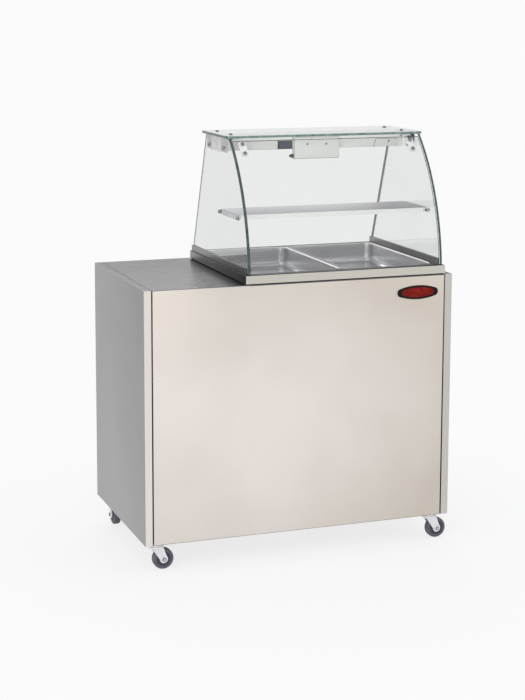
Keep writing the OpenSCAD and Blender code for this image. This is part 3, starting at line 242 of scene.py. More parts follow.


# Brushed and plated metals: the grain is how fine the streaks are along x, y and z. A second
# colour, painted light or shade, is reached along the slope, and a low rim darkens what grazing
# light mirrors.
upright, sideways, alongY = (700, 700, 5), (5, 700, 700), (700, 5, 700)
plated, pitted = (260, 260, 260), (300, 300, 300)
steelBase = {"grain": sideways, "streak": 0.03, "cloud": 0.05, "rough": 0.42, "spread": 0.12,
             "metal": 1.0, "rim": 1.0, "bend": (0, 0, 0), "bump": 0.08, "bumpDepth": 0.0002}
shadow = {"grain": upright, "streak": 0.1, "cloud": 0.1, "rough": 0.5, "rim": 0.2}
zinc = {"grain": plated, "streak": 0.05, "cloud": 0.1, "rough": 0.32}
steelLooks = {
    # painted light and shade: the front steel is lightest a little left of the middle, darker
    # towards the right, the top and the bottom
    "satinSteel": {"colour": (0.81, 0.758, 0.725), "grain": upright, "cloud": 0.02,
        "second": (0.616, 0.563, 0.5), "slope": (0.5, 0, -2.26), "bend": (1.55, 0, 2.65),
        "middle": 0.6, "patchy": 1.0},
    "edgeSteel": {"colour": (0.79, 0.742, 0.7), "grain": upright, "cloud": 0.03, "rough": 0.36},
    "shadedEdge": {"colour": (0.58, 0.555, 0.53), "grain": upright, "cloud": 0.04, "rough": 0.38},
    # painted shade beside the gaps, along the feet, under the display and on the pans' outer edge:
    # dark, lighter towards the top and the right
    "seamSteel": {**shadow, "colour": (0.09, 0.08, 0.075), "second": (0.42, 0.405, 0.385),
        "slope": (1.2, 0, 1.4), "middle": -1.35, "patchy": 0.3},
    # painted light and shade on the top folds of the front panel and gantry rail: lit left of x =
    # -0.19 m, painted dark right of it
    "headSteel": {**shadow, "colour": (0.6, 0.57, 0.54), "second": (0.03, 0.028, 0.026),
        "slope": (40, 0, 0), "middle": 7.6, "patchy": 0.1},
    # painted shade: the side panels and doors are the steel painted as in shade, darker towards the
    # top
    "sideSteel": {"colour": (0.375, 0.375, 0.377), "grain": upright, "cloud": 0.03,
        "second": (0.315, 0.31, 0.312), "slope": (0, 0, 0.8), "middle": 0.05, "patchy": 0.9},
    # painted shade on the display base's top faces
    "rimSteel": {"colour": (0.2, 0.195, 0.205), "streak": 0.04, "cloud": 0.06, "rough": 0.32,
        "rim": 0.2},
    "shadedBand": {"colour": (0.15, 0.15, 0.16), "grain": alongY, "streak": 0.08, "cloud": 0.2,
        "rough": 0.34, "rim": 0.4, "second": (0.5, 0.5, 0.5), "slope": (0, 1.6, 0), "middle": 0.42,
        "patchy": 0.8},
    # painted shade: the folds of the gantry pieces are painted dark as outlines
    "outlineSteel": {"colour": (0.4, 0.385, 0.375), "rough": 0.4},
    "bandSteel": {"colour": (0.61, 0.585, 0.535), "streak": 0.04, "rough": 0.34},
    # painted shade and reflection: the worktop steel, also on the side panels' tops, is painted
    # dark for the dark reflections it shows
    "worktopSteel": {"colour": (0.207, 0.203, 0.211), "streak": 0.05, "cloud": 0.14, "rough": 0.26,
        "rim": 0.55},
    "innerSteel": {"colour": (0.46, 0.45, 0.45), "streak": 0.04, "cloud": 0.08, "rough": 0.38},
    # painted shade: the pans' rim is painted darker than the pan
    "panRim": {"colour": (0.29, 0.284, 0.295), "grain": alongY, "streak": 0.05, "cloud": 0.12,
        "rough": 0.26, "rim": 0.5},
    "panSteel": {"colour": (0.54, 0.535, 0.55), "grain": alongY, "cloud": 0.06, "rough": 0.22},
    # painted shade: darker towards the front and the right
    "channelSteel": {"colour": (0.43, 0.42, 0.425), "grain": alongY, "streak": 0.14, "cloud": 0.3,
        "rough": 0.3, "rim": 0.5, "second": (0.19, 0.185, 0.19), "slope": (0.9, -1.8, 0),
        "middle": 0.4, "patchy": 1.4},
    # painted light and shade: the shelf's top is painted dark, lighter towards the back and the
    # right, and its front lip is painted bright
    "shelfSteel": {"colour": (0.25, 0.24, 0.265), "cloud": 0.06, "rough": 0.34, "rim": 0.6,
        "second": (0.43, 0.42, 0.44), "slope": (1.0, 3.5, 0), "middle": 0.75, "patchy": 0.6},
    "lipSteel": {"colour": (0.95, 0.95, 0.93), "streak": 0.02, "cloud": 0.03, "rough": 0.36,
        "metal": 0.2},
    "gantrySteel": {"colour": (0.99, 0.97, 0.93), "streak": 0.01, "cloud": 0.01, "metal": 0.0},
    "gussetSteel": {"colour": (0.95, 0.935, 0.91), "cloud": 0.03, "rough": 0.4, "metal": 0.0},
    # painted shade: the clips turn dark towards the right and the front
    "clipZinc": {**zinc, "colour": (0.56, 0.555, 0.57), "streak": 0.08, "cloud": 0.15, "metal": 0.6,
        "second": (0.075, 0.065, 0.095), "slope": (1.6, -4, 0), "middle": 0.1, "patchy": 0.4},
    "clampZinc": {**zinc, "colour": (0.93, 0.93, 0.93), "cloud": 0.08, "metal": 0.25},
    "forkZinc": {**zinc, "colour": (0.77, 0.765, 0.79), "metal": 0.6},
    "boltSteel": {"colour": (0.22, 0.22, 0.24), "grain": pitted, "streak": 0.06, "cloud": 0.1,
        "rough": 0.25},
    "brightSteel": {"colour": (0.74, 0.74, 0.76), "rough": 0.24},
    "zincPlate": {**zinc, "colour": (0.68, 0.68, 0.71), "rough": 0.27},
    "darkMetal": {"colour": (0.07, 0.068, 0.085), "grain": pitted, "streak": 0.12, "cloud": 0.2},
}


def steelMaterial(name, look):
    look = {**steelBase, **look}
    material, tree, shader, place = startMaterial(name)
    colour = look["colour"]
    if "second" in look:
        colour = placeGroup(tree, "shadeAndTone", place, {
            "First": colour, "Second": look["second"], "Slope": look["slope"],
            "Bend": look["bend"], "Middle": look["middle"], "Patchiness": look["patchy"]})["Colour"]
    finish = placeGroup(tree, "brushed", place, {
        "Steel Colour": colour, "Brushing": look["grain"], "Streak Depth": look["streak"],
        "Cloud Depth": look["cloud"], "Roughness": look["rough"],
        "Roughness Spread": look["spread"]})
    feed(tree, shader.inputs, {"Metallic": look["metal"], "Specular Tint": (look["rim"],) * 3})
    joinFinish(tree, shader, finish, look)
    return material


# Moulded, cast and painted finishes, each with a worn shade
mouldedBase = {"wear": 0.3, "gloss": 0.5, "bump": 0.02, "bumpDepth": 0.0003}
mouldedLooks = {
    "blackPlastic": {"base": (0.018, 0.018, 0.021), "worn": (0.08, 0.08, 0.085), "wear": 0.25,
        "rough": 0.38, "bump": 0.15},
    "rockerBlue": {"base": (0.045, 0.042, 0.095), "worn": (0.1, 0.1, 0.16), "wear": 0.2,
        "rough": 0.22, "bump": 0.03},
    "rockerRed": {"base": (0.33, 0.012, 0.01), "worn": (0.42, 0.06, 0.05), "wear": 0.2,
        "rough": 0.22, "bump": 0.03},
    "lensAmber": {"base": (0.72, 0.25, 0.02), "worn": (0.8, 0.36, 0.08), "rough": 0.14},
    "sealRubber": {"base": (0.008, 0.008, 0.009), "worn": (0.03, 0.03, 0.03), "wear": 0.4,
        "rough": 0.7, "bump": 0.2, "gloss": 0.15},
    "ceramicWhite": {"base": (0.76, 0.74, 0.68), "worn": (0.6, 0.57, 0.5), "rough": 0.3,
        "bump": 0.05},
    "hubGrey": {"base": (0.055, 0.045, 0.075), "worn": (0.16, 0.15, 0.18), "wear": 0.4,
        "rough": 0.45, "bump": 0.1},
    "tyreSlate": {"base": (0.085, 0.085, 0.112), "worn": (0.19, 0.185, 0.21), "wear": 0.7,
        "rough": 0.6, "bump": 0.25},
    "tyreCore": {"base": (0.03, 0.026, 0.048), "worn": (0.1, 0.09, 0.13), "wear": 0.5,
        "rough": 0.55, "bump": 0.2},
    "markWhite": {"base": (0.75, 0.75, 0.73), "worn": (0.5, 0.5, 0.48), "rough": 0.5},
    "badgeRed": {"base": (0.17, 0.006, 0.004), "worn": (0.36, 0.03, 0.014), "wear": 0.9,
        "rough": 0.24, "gloss": 0.12},
    "badgeBlack": {"base": (0.01, 0.006, 0.006), "worn": (0.03, 0.02, 0.018), "rough": 0.28,
        "gloss": 0.12},
}


def mouldedMaterial(name, look):
    look = {**mouldedBase, **look}
    material, tree, shader, place = startMaterial(name)
    finish = placeGroup(tree, "moulded", place, {
        "Base": look["base"], "Worn": look["worn"], "Wear": look["wear"],
        "Roughness": look["rough"]})
    feed(tree, shader.inputs, {"Specular IOR Level": look["gloss"]})
    joinFinish(tree, shader, finish, look)
    return material


# Glass: a tint with a faint film on it, and smudges that blur it a little
glassBase = {"index": 1.46, "film": 0.985, "smudge": 0.03, "rough": 0.0,
             "shadow": (0.992, 0.996, 0.994)}
glassLooks = {
    "caseGlass": {"tint": (0.85, 0.866, 0.86)},
    # painted shade and light: the left pane's tint is darker and the right pane's nearly clear,
    # though the panes are one glass
    "leftGlass": {"tint": (0.765, 0.78, 0.775)},
    "rightGlass": {"tint": (0.955, 0.96, 0.957)},
    # painted shade: the top pane's tint is darker than the others, and greener towards the front
    "topGlass": {"tint": (0.66, 0.675, 0.675), "front": (0.42, 0.55, 0.54),
                 "slope": (0, -9, 0), "middle": 0.2},
    "frostedTube": {"tint": (0.97, 0.96, 0.93), "rough": 0.45},
}


def glassMaterial(name, look):
    look = {**glassBase, **look}
    material, tree, shader, place = startMaterial(name)
    faint = [look["film"] * part for part in look["tint"]]
    tint = addMix(tree, addMask(tree, place, "film"), look["tint"], faint)
    if "front" in look:  # painted: the front of the sheet is tinted towards the green that its lit edge shows
        tint = placeGroup(tree, "shadeAndTone", place, {
            "First": tint, "Second": look["front"], "Slope": look["slope"],
            "Middle": look["middle"], "Patchiness": 0.0})["Colour"]
    smudged = addMask(tree, place, "smudge", look["rough"], look["rough"] + look["smudge"])
    feed(tree, shader.inputs, {
        "Transmission Weight": 1.0, "IOR": look["index"], "Base Color": tint,
        "Roughness": smudged})
    clear = addNode(tree, "ShaderNodeBsdfTransparent", {"Color": look["shadow"]})
    shadow = tree.nodes.new("ShaderNodeLightPath").outputs["Is Shadow Ray"]
    mixShaders(tree, shadow, shader.outputs[0], clear.outputs[0])
    return material


# Polished edges of the panes
edgeLooks = {
    "sideGlassEdge": {"deep": (0.014, 0.034, 0.037), "light": (0.075, 0.125, 0.125)},
    "rearGlassEdge": {"deep": (0.045, 0.050, 0.036), "light": (0.17, 0.175, 0.135)},
    # painted light: the top pane's edges are a lighter copy of the polished edge
    "topGlassEdge": {"deep": (0.085, 0.145, 0.13), "light": (0.25, 0.36, 0.325)},
}
edgeRoughness = (0.08, 0.22)


def edgeMaterial(name, look):
    material, tree, shader, place = startMaterial(name)
    waves = addMask(tree, place, "edgeWave")
    feed(tree, shader.inputs, {
        "Base Color": addMix(tree, waves, look["deep"], look["light"]),
        "Roughness": addMask(tree, place, "edgeGrain", *edgeRoughness)})
    return material


makers = ((steelMaterial, steelLooks), (mouldedMaterial, mouldedLooks),
          (glassMaterial, glassLooks), (edgeMaterial, edgeLooks))
materials = {name: maker(name, look) for maker, looks in makers for name, look in looks.items()}
print("materials made:", len(materials))

nodeFinish = {
    "satinSteel": "front_panel control_fascia",
    "gantrySteel": "gantry_rail gantry_box",
    "sideSteel": "side_panel_left side_panel_right door_left door_right",
    "gussetSteel": "gantry_gusset",
    "bandSteel": "display_base",
    "worktopSteel": "worktop",
    "innerSteel": "cabinet_floor plate_shelf shelf_ledges well_tank control_housing",
    "panSteel": "pan_left pan_right",
    "channelSteel": "glass_channels door_pull_left door_pull_right",
    "shelfSteel": "display_shelf",
    "brightSteel": "shelf_rails",
    "boltSteel": "glass_bolts",
    "zincPlate": "door_pivots caster_mounts",
    "clipZinc": "glass_clips",
    "clampZinc": "hinge_arms hinge_clamps",
    "darkMetal": "thermostat_body heating_elements gantry_screws caster_nuts",
    "blackPlastic": "power_inlet switch_frames thermostat_knob cable_gland",
    "rockerBlue": "gantry_rocker",
    "rockerRed": "power_switch",
    "lensAmber": "indicator_lamp",
    "sealRubber": "base_gasket",
    "badgeRed": "badge_plate",
    "ceramicWhite": "lamp_holders",
    "caseGlass": "front_glass",
    "leftGlass": "side_glass_left",
    "rightGlass": "side_glass_right",
    "topGlass": "top_glass",
    "frostedTube": "lamp_tube",
}
finishOf = {node: finish for finish, names in nodeFinish.items() for node in names.split()}
for part, finish in (("fork", "forkZinc"), ("hub", "hubGrey"), ("tyre", "tyreSlate")):
    finishOf.update({"caster_" + part + "_" + corner: finish for corner in corners})
for node, finish in finishOf.items():
    nodes[node].data.materials.clear()
    nodes[node].data.materials.append(materials[finish])
bare = [node for node in nodes if node not in finishOf]
print("CAD nodes without a finish:", bare)


# What the pieces are built from

def addObject(name, data):
    made = bpy.data.objects.new(name, data)
    bpy.context.scene.collection.objects.link(made)
    return made


def bodyOf(node):
    return nodes[node]["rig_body"]


def finishPiece(name, mesh, body, stoodFor=(), smoothAngle=35):
    piece = addObject(name, mesh)
    for face in mesh.polygons:
        face.use_smooth = smoothAngle > 0
    mesh.set_sharp_from_angle(angle=radians(smoothAngle))
    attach(piece, body)
    if stoodFor:
        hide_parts(*stoodFor)
    return piece


def meshFrom(name, shape, finishes):
    mesh = bpy.data.meshes.new(name)
    shape.to_mesh(mesh)
    shape.free()
    for finish in finishes:
        mesh.materials.append(materials[finish])
    return mesh


def standIn(node, name, shape, finishes, smoothAngle=35):  # a finer piece in a node's place
    mesh = meshFrom(name, shape, finishes)
    return finishPiece(name, mesh, bodyOf(node), (node,), smoothAngle)


def plainMesh(name, source):  # what an object evaluates to, once the object is gone
    depsgraph = bpy.context.evaluated_depsgraph_get()
    mesh = bpy.data.meshes.new_from_object(source.evaluated_get(depsgraph))
    bpy.data.objects.remove(source)
    mesh.name = name
    return mesh


def copyNode(node, joinFlats=True):
    shape = bmesh.new()
    shape.from_mesh(nodes[node].data)
    bmesh.ops.remove_doubles(shape, verts=shape.verts, dist=0.001 * mm)
    if joinFlats:
        bmesh.ops.dissolve_limit(shape, angle_limit=radians(0.6),
                                 verts=shape.verts, edges=shape.edges)
    return shape


def bridge(shape, first, second):  # faces between two rings of as many points
    return [shape.faces.new(around) for around in
            zip(first, first[1:] + first[:1], second[1:] + second[:1], second)]


def faceOut(shape):
    bmesh.ops.recalc_face_normals(shape, faces=shape.faces)


def quarter(steps):  # the angles of a quarter turn
    return [radians(90 * step / steps) for step in range(steps + 1)]


# Folded sheet pieces: radius of the folds and the shortest edge that gets one, the finish of
# the faces that look a given way (often a lit or shaded copy of the steel), and that of the
# folds (painted dark as outlines), or the painted shade of those left in shadow: beside the
# gaps, along the foot and under the display
panelBase = {"radius": 1.5, "segments": 2, "shortest": 60, "hardAngle": 40, "facing": {},
             "folds": None, "shade": {}, "squareOn": 0.93, "nearlySquare": 0.97,
             "leaning": 0.2, "frontal": 0.99}  # the last four are cosines of a face's normal
panelCopies = {
    "front_panel": {"radius": 1.7, "shade": {
        "-x": "seamSteel", "+x": "seamSteel", "-z": "seamSteel", "+z": "headSteel"}},
    "side_panel_left": {"radius": 1.7, "facing": {"-y": "edgeSteel", "+z": "worktopSteel"},
        "shade": {"+x": "seamSteel", "-z": "seamSteel"}},
    "side_panel_right": {"radius": 1.7, "facing": {"-y": "shadedEdge", "+z": "worktopSteel"},
        "shade": {"-x": "seamSteel", "-z": "seamSteel"}},
    "display_shelf": {"radius": 0.0, "facing": {"-y": "lipSteel"}},
    "display_base": {"radius": 1.6, "facing": {"-x": "shadedBand", "+z": "rimSteel"},
                     "shade": {"-z": "seamSteel"}},
    "gantry_box": {"shortest": 10, "folds": "outlineSteel"},
    "gantry_rail": {"folds": "outlineSteel", "shade": {"+z": "headSteel"}},
    # the gusset's folds are painted dark as outlines, painted shade
    "gantry_gusset": {"radius": 0.8, "shortest": 10, "folds": "darkMetal"},
    "door_left": {},
    "door_right": {},
}
directions = {"-x": (-1, 0, 0), "+x": (1, 0, 0), "-y": (0, -1, 0), "-z": (0, 0, -1),
              "+z": (0, 0, 1)}


def softenEdges(shape, look):
    hard = [edge for edge in shape.edges if len(edge.link_faces) == 2
            and edge.calc_face_angle(0) > radians(look["hardAngle"])
            and edge.calc_length() > look["shortest"] * mm]
    bmesh.ops.bevel(shape, geom=hard, offset=look["radius"] * mm, offset_type="OFFSET",
                    segments=look["segments"], profile=0.5, affect="EDGES", clamp_overlap=True)


def panelCopy(node, look):
    look = {**panelBase, **look}
    shape = copyNode(node)
    if look["radius"]:
        softenEdges(shape, look)
    shape.normal_update()
    finishes = [finishOf[node]]

    def paint(finish, chosen):
        if finish not in finishes:
            finishes.append(finish)
        for face in shape.faces:
            if chosen(face.normal):
                face.material_index = finishes.index(finish)

    for way, finish in look["facing"].items():
        paint(finish, lambda n: n.dot(Vector(directions[way])) > look["squareOn"])
    if look["folds"]:
        paint(look["folds"], lambda n: max(abs(part) for part in n) < look["nearlySquare"])
    for way, finish in look["shade"].items():
        paint(finish, lambda n: -look["frontal"] < n.y < -look["leaning"]
              and n.dot(Vector(directions[way])) > look["leaning"])
    return standIn(node, node + "Skin", shape, finishes)


for node, look in panelCopies.items():
    panelCopy(node, look)
print("panels folded")

# Flat panes with polished edges: the axis that the pane is thin along, its edge finish, and
# the finish of a strip at its back, so many millimetres wide. Both its faces are drawn in a
# little from what the pane touches.
paneBase = {"axis": 0, "edge": "sideGlassEdge", "back": "sideGlassEdge", "strip": 0.0,
            "drawIn": 0.25, "reach": 1.0, "flat": 0.9, "leftEndShade": 0.6}
glassPanes = {
    "side_glass_left": {"strip": 2.0},
    "side_glass_right": {"back": "rearGlassEdge", "strip": 12.0},
    "top_glass": {"axis": 2, "edge": "topGlassEdge"},
}


def glassPane(node, look):
    look = {**paneBase, **look}
    shape = copyNode(node, False)
    low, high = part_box(node)
    axis, middle = look["axis"], (low + high) / 2
    thick = high[axis] - low[axis]
    if look["strip"]:
        reach, points = look["reach"] * mm, [vert.co for vert in shape.verts]
        foot = max((co for co in points if co.z < low.z + reach), key=lambda co: co.y)
        head = max((co for co in points if co.z > high.z - reach), key=lambda co: co.y)
        along = Vector((0, head.y - foot.y, head.z - foot.z)).normalized()
        across = Vector((0, along.z, -along.y))
        cut = Vector((0, foot.y, foot.z)) - across * look["strip"] * mm
        bmesh.ops.bisect_plane(shape, geom=shape.verts[:] + shape.edges[:] + shape.faces[:],
                               plane_co=cut, plane_no=across)
    shape.normal_update()
    for face in shape.faces:
        flat = abs(face.normal[axis]) > look["flat"]
        behind = look["strip"] and (face.calc_center_median() - cut).dot(across) > 0
        # the top pane's left end takes the darker back finish as painted shade
        leftEndShade = axis == 2 and face.normal.x < -look["leftEndShade"]
        face.material_index = 2 if behind or leftEndShade else (0 if flat else 1)
    share = 1 - 2 * look["drawIn"] * mm / thick
    for vert in shape.verts:
        vert.co[axis] = middle[axis] + (vert.co[axis] - middle[axis]) * share
    return standIn(node, node + "Pane", shape, (finishOf[node], look["edge"], look["back"]), 0)


for node, look in glassPanes.items():
    glassPane(node, look)

# The curved pane is rolled afresh about its own centre line, from the solid's radii and ends
curvedLook = {"y": 339, "z": 898.5, "steps": 56, "arris": 0.8}


def fromCentre(point):
    return curvedLook["y"] - point.y / mm, point.z / mm - curvedLook["z"]


def rolledPane(node, look):
    low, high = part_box(node)
    offsets = [fromCentre(vert.co) for vert in nodes[node].data.vertices]
    radii = [hypot(*offset) for offset in offsets]
    angles = [atan2(offset[1], offset[0]) for offset in offsets]
    x0, x1, inner, outer, c = low.x / mm, high.x / mm, min(radii), max(radii), look["arris"]
    section = [(x0 + c, inner), (x1 - c, inner), (x1, inner + c), (x1, outer - c),
               (x1 - c, outer), (x0 + c, outer), (x0, outer - c), (x0, inner + c)]
    broad = (0, 4)  # the sides of the section that are the pane's own faces
    shape = bmesh.new()
    rows = []
    for step in range(look["steps"] + 1):
        angle = min(angles) + (max(angles) - min(angles)) * step / look["steps"]
        rows.append([shape.verts.new(Vector((
            x, look["y"] - r * cos(angle), look["z"] + r * sin(angle))) * mm)
            for x, r in section])
    for row, after in zip(rows, rows[1:]):
        for side, face in enumerate(bridge(shape, row, after)):
            face.material_index = 0 if side in broad else 1
    for row in (rows[0], rows[-1]):
        shape.faces.new(row).material_index = 1
    faceOut(shape)
    return standIn(node, node + "Pane", shape, (finishOf[node], "sideGlassEdge"))


def darkBolts(node, pane):  # the bolt heads are what stands outside the pane
    outside = max(hypot(*fromCentre(vert.co)) for vert in nodes[pane].data.vertices)
    shape = copyNode(node)
    for face in shape.faces:
        if hypot(*fromCentre(face.calc_center_median())) > outside:
            face.material_index = 1
    return standIn(node, node + "Dressed", shape, (finishOf[node], "boltSteel"))


rolledPane("front_glass", curvedLook)
darkBolts("hinge_clamps", "front_glass")
print("glass panes made")


def ringPoints(width, length, radius, height, steps=10):
    points = []
    for turn in range(4):
        cx = (width / 2 - radius) * (1, -1, -1, 1)[turn]
        cy = (length / 2 - radius) * (1, 1, -1, -1)[turn]
        for step in range(steps + 1):
            angle = radians(90 * turn + 90 * step / steps)
            points.append(Vector((cx + radius * cos(angle), cy + radius * sin(angle), height)))
    return points


# Food pans, millimetres: pressed from one sheet with a flat rim, over a floor a little crowned
# The rim rings are painted darker as shade, and the outer edge ring takes the painted seam shade
panLook = {"rim": 10, "rimThick": 1.2, "arris": 0.3, "rimRound": 3, "lap": 0.8,
           "sheet": 1, "taper": 3, "wallSteps": 5, "bottomRound": 14,
           "corners": (28, 32, 48), "leastCorner": 2,
           "floorInsets": (30, 60), "crown": 0.3, "crownUnder": 0.2,
           "finishes": ("panSteel", "panRim", "seamSteel"), "edgeShadeRings": 1, "rimShadeRings": 4}


def makePan(node, look):
    low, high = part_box(node)
    size = (high - low) / mm
    top, t, r, b = size.z, look["sheet"], look["rimRound"], look["bottomRound"]
    rim, taper, arris = look["rim"], look["taper"], look["arris"]
    corner, lowCorner, floorCorner = look["corners"]
    rings = [ringPoints(size.x, size.y, rim, top - look["rimThick"]),
             ringPoints(size.x, size.y, rim, top - arris),
             ringPoints(size.x - 2 * arris, size.y - 2 * arris, rim, top)]

    def ring(inset, height, radius):
        rings.append(ringPoints(size.x - 2 * rim - 2 * inset, size.y - 2 * rim - 2 * inset,
                                max(radius - inset, look["leastCorner"]), height))

    for angle in quarter(6):  # inside: over the rim, down the wall and round the bottom
        ring(-r + t + r * sin(angle), top - r + r * cos(angle), corner)
    for step in range(1, look["wallSteps"] + 1):
        down = step / look["wallSteps"]
        ring(t + taper * down, top - r - (top - t - b - r) * down, corner)
    for angle in quarter(7)[1:]:
        ring(t + taper + b * (1 - cos(angle)), t + b - b * sin(angle), lowCorner)
    near, far = look["floorInsets"]
    ring(t + near, t, floorCorner)
    ring(t + far, t + look["crown"], floorCorner)
    inner = len(rings)
    ring(far, look["crownUnder"], floorCorner)  # outside, from the floor back up to the rim
    ring(b + taper, 0.0, lowCorner)
    for angle in reversed(quarter(7)[:-1]):
        ring(taper + b * (1 - cos(angle)), b - b * sin(angle), lowCorner)
    ring(0.0, top - look["rimThick"] - look["lap"], corner)
    shape = bmesh.new()
    seat = Vector(((low.x + high.x) / 2, (low.y + high.y) / 2, low.z))
    made = [[shape.verts.new(seat + point * mm) for point in points] for points in rings]
    for k, (first, second) in enumerate(zip(made, made[1:])):
        if k == inner - 1:
            continue
        for face in bridge(shape, first, second):
            face.material_index = 2 if k < look["edgeShadeRings"] else (1 if k < look["rimShadeRings"] else 0)
    shape.faces.new(made[inner - 1])
    shape.faces.new(list(reversed(made[inner])))
    bridge(shape, made[-1], made[0])
    faceOut(shape)
    return standIn(node, node + "Formed", shape, look["finishes"], 40)


for node in ("pan_left", "pan_right"):
    makePan(node, panLook)
print("pans formed")


def spinProfile(shape, profile, steps):  # a closed profile of radius and y, spun about y
    rows = []
    for step in range(steps):
        angle = 2 * pi * step / steps
        rows.append([shape.verts.new(Vector((r * cos(angle), y, r * sin(angle))) * mm)
                     for r, y in profile])
    return [bridge(shape, row, after) for row, after in zip(rows, rows[1:] + rows[:1])]


def isTurned(node):  # a wheel's axle lies along y, or along x where its caster is turned
    low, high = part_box(node)
    return high.x - low.x < high.y - low.y


def wheelPlace(node):
    low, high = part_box(node)
    turn = Matrix.Rotation(pi / 2, 4, "Z") if isTurned(node) else Matrix.Identity(4)
    return Matrix.Translation((low + high) / 2) @ turn


# Tyres, millimetres: a dark core beside the hub, round shoulders and two grooves
tyreLook = {"coreWidth": 4.5, "coreStep": 2.2, "chamfer": 1.2, "shoulder": 5.5, "steps": 72,
            "grooves": (-4, 4), "grooveWidth": 1.1, "grooveDepth": 0.9}


def tyreProfile(radius, inner, width, look):
    half, s, w, d = width / 2, look["shoulder"], look["grooveWidth"], look["grooveDepth"]
    core, ledge = inner + look["coreWidth"], inner + look["coreStep"]
    points = [(inner, -half + look["chamfer"]), (ledge, -half), (core, -half)]
    points += [(radius - s + s * sin(angle), -half + s - s * cos(angle)) for angle in quarter(6)]
    for groove in look["grooves"]:
        points += [(radius, groove - w), (radius - d, groove - w / 3),
                   (radius - d, groove + w / 3), (radius, groove + w)]
    points += [(radius - s + s * cos(angle), half - s + s * sin(angle)) for angle in quarter(6)]
    return points + [(core, half), (ledge, half), (inner, half - look["chamfer"])]


def makeTyre(corner, look):
    node = "caster_tyre_" + corner
    low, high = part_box(node)
    hubLow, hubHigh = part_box("caster_hub_" + corner)
    size, inner = (high - low) / mm, (hubHigh.z - hubLow.z) / 2 / mm
    shape = bmesh.new()
    profile = tyreProfile(size.z / 2, inner, min(size.x, size.y), look)
    spinProfile(shape, profile, look["steps"])
    faceOut(shape)
    tyre = standIn(node, "tyre_" + corner, shape, ("tyreSlate", "tyreCore"), 50)
    for face in tyre.data.polygons:
        if hypot(face.center.x, face.center.z) < (inner + look["coreWidth"]) * mm:
            face.material_index = 1
    tyre.data.transform(wheelPlace(node))


for corner in corners:
    makeTyre(corner, tyreLook)
print("tyres turned")

# Axle bolt heads on both cheeks of each caster fork: radius and height of each step, from the
# dimple in the middle to the foot, with a painted highlight as far as one radius and painted shade
# outside it
axleLook = {"reach": 14.0, "steps": 28, "bright": 3.9,
            "profile": ((0.7, 0.0), (0.7, 1.8), (2.7, 2.4), (3.9, 1.9), (5.6, 1.5), (6.4, 0.9),
                        (6.4, 0.0))}


def axleBolts(corner, look):
    fork, hub = "caster_fork_" + corner, "caster_hub_" + corner
    low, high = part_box(hub)
    middle = (low + high) / 2
    along, across = (0, 1) if isTurned(hub) else (1, 0)
    cheeks = [vert.co[along] - middle[along] for vert in nodes[fork].data.vertices
              if hypot(vert.co[across] - middle[across], vert.co.z - middle.z) < look["reach"] * mm]
    radii = [r for r, h in look["profile"]]
    shape = bmesh.new()
    for side, seat in ((-1, min(cheeks)), (1, max(cheeks))):
        profile = [(r, seat / mm + side * h) for r, h in look["profile"]]
        for faces in spinProfile(shape, profile, look["steps"]):
            for face, r, following in zip(faces, radii, radii[1:] + radii[:1]):
                face.material_index = 1 if min(r, following) >= look["bright"] else 0
    faceOut(shape)
    mesh = meshFrom("axleBolts_" + corner, shape, ("brightSteel", "darkMetal"))
    mesh.transform(wheelPlace(hub))
    finishPiece("axleBolts_" + corner, mesh, bodyOf(fork), (), 40)


for corner in corners:
    axleBolts(corner, axleLook)

# Badge plate, millimetres: a black rim round a low red crown, after the solid's own outline,
# left bare
badgeLook = {"rim": 6.5, "endRim": 15, "edgeRound": 0.5, "sunk": 0.7, "slant": 0.6,
             "gap": 0.2, "flatMiddle": 2, "lift": 0.05, "crownRings": 7}


def makeBadge(node, look):
    low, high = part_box(node)
    middle = (low + high) / 2
    outline = {}
    for vert in nodes[node].data.vertices:
        if vert.co.y < middle.y:
            offset = (vert.co - middle) / mm
            outline[(round(offset.x, 2), round(offset.z, 2))] = atan2(offset.z, offset.x)
    outline = [point for point, angle in sorted(outline.items(), key=lambda row: row[1])]
    halfW, halfH = (high.x - low.x) / 2 / mm, (high.z - low.z) / 2 / mm
    front, back, rim, sunk = low.y / mm, high.y / mm, look["rim"], look["sunk"]
    rings = [(0.0, back), (0.0, front + look["edgeRound"]), (look["edgeRound"], front),
             (rim - look["slant"], front), (rim, front + sunk)]
    rimCount = len(rings)
    for step in range(look["crownRings"]):
        share = step / (look["crownRings"] - 1)
        inset = rim + look["gap"] + (halfH - rim - look["flatMiddle"]) * share
        rise = sunk * (1 - sin(pi / 2 * share))
        rings.append((inset, front + rise + look["lift"]))
    shape = bmesh.new()
    made = []
    for inset, y in rings:
        sx, sz = 1 - inset * look["endRim"] / rim / halfW, 1 - inset / halfH
        made.append([shape.verts.new(Vector((middle.x + x * sx * mm, y * mm,
                                             middle.z + z * sz * mm))) for x, z in outline])
    for k, (first, second) in enumerate(zip(made, made[1:])):
        for face in bridge(shape, first, second):
            face.material_index = 0 if k < rimCount - 1 else 1
    shape.faces.new(made[0])
    shape.faces.new(made[-1]).material_index = 1
    faceOut(shape)
    standIn(node, "badgePlate", shape, ("badgeBlack", "badgeRed"), 45)


makeBadge("badge_plate", badgeLook)
print("badge plate made")


# Geometry trees for what repeats

def combine(tree, x, y, z):
    return addNode(tree, "ShaderNodeCombineXYZ", {"X": x, "Y": y, "Z": z}).outputs[0]


def closeTree(tree, points, instance, rotation, scale, finish, end):
    spread = addNode(tree, "GeometryNodeInstanceOnPoints", {
        "Points": points, "Instance": instance, "Rotation": rotation, "Scale": scale})
    real = addNode(tree, "GeometryNodeRealizeInstances", {0: spread.outputs[0]})
    paint = addNode(tree, "GeometryNodeSetMaterial", {
        "Geometry": real.outputs[0], "Material": finish})
    feed(tree, end, {0: paint.outputs[0]})


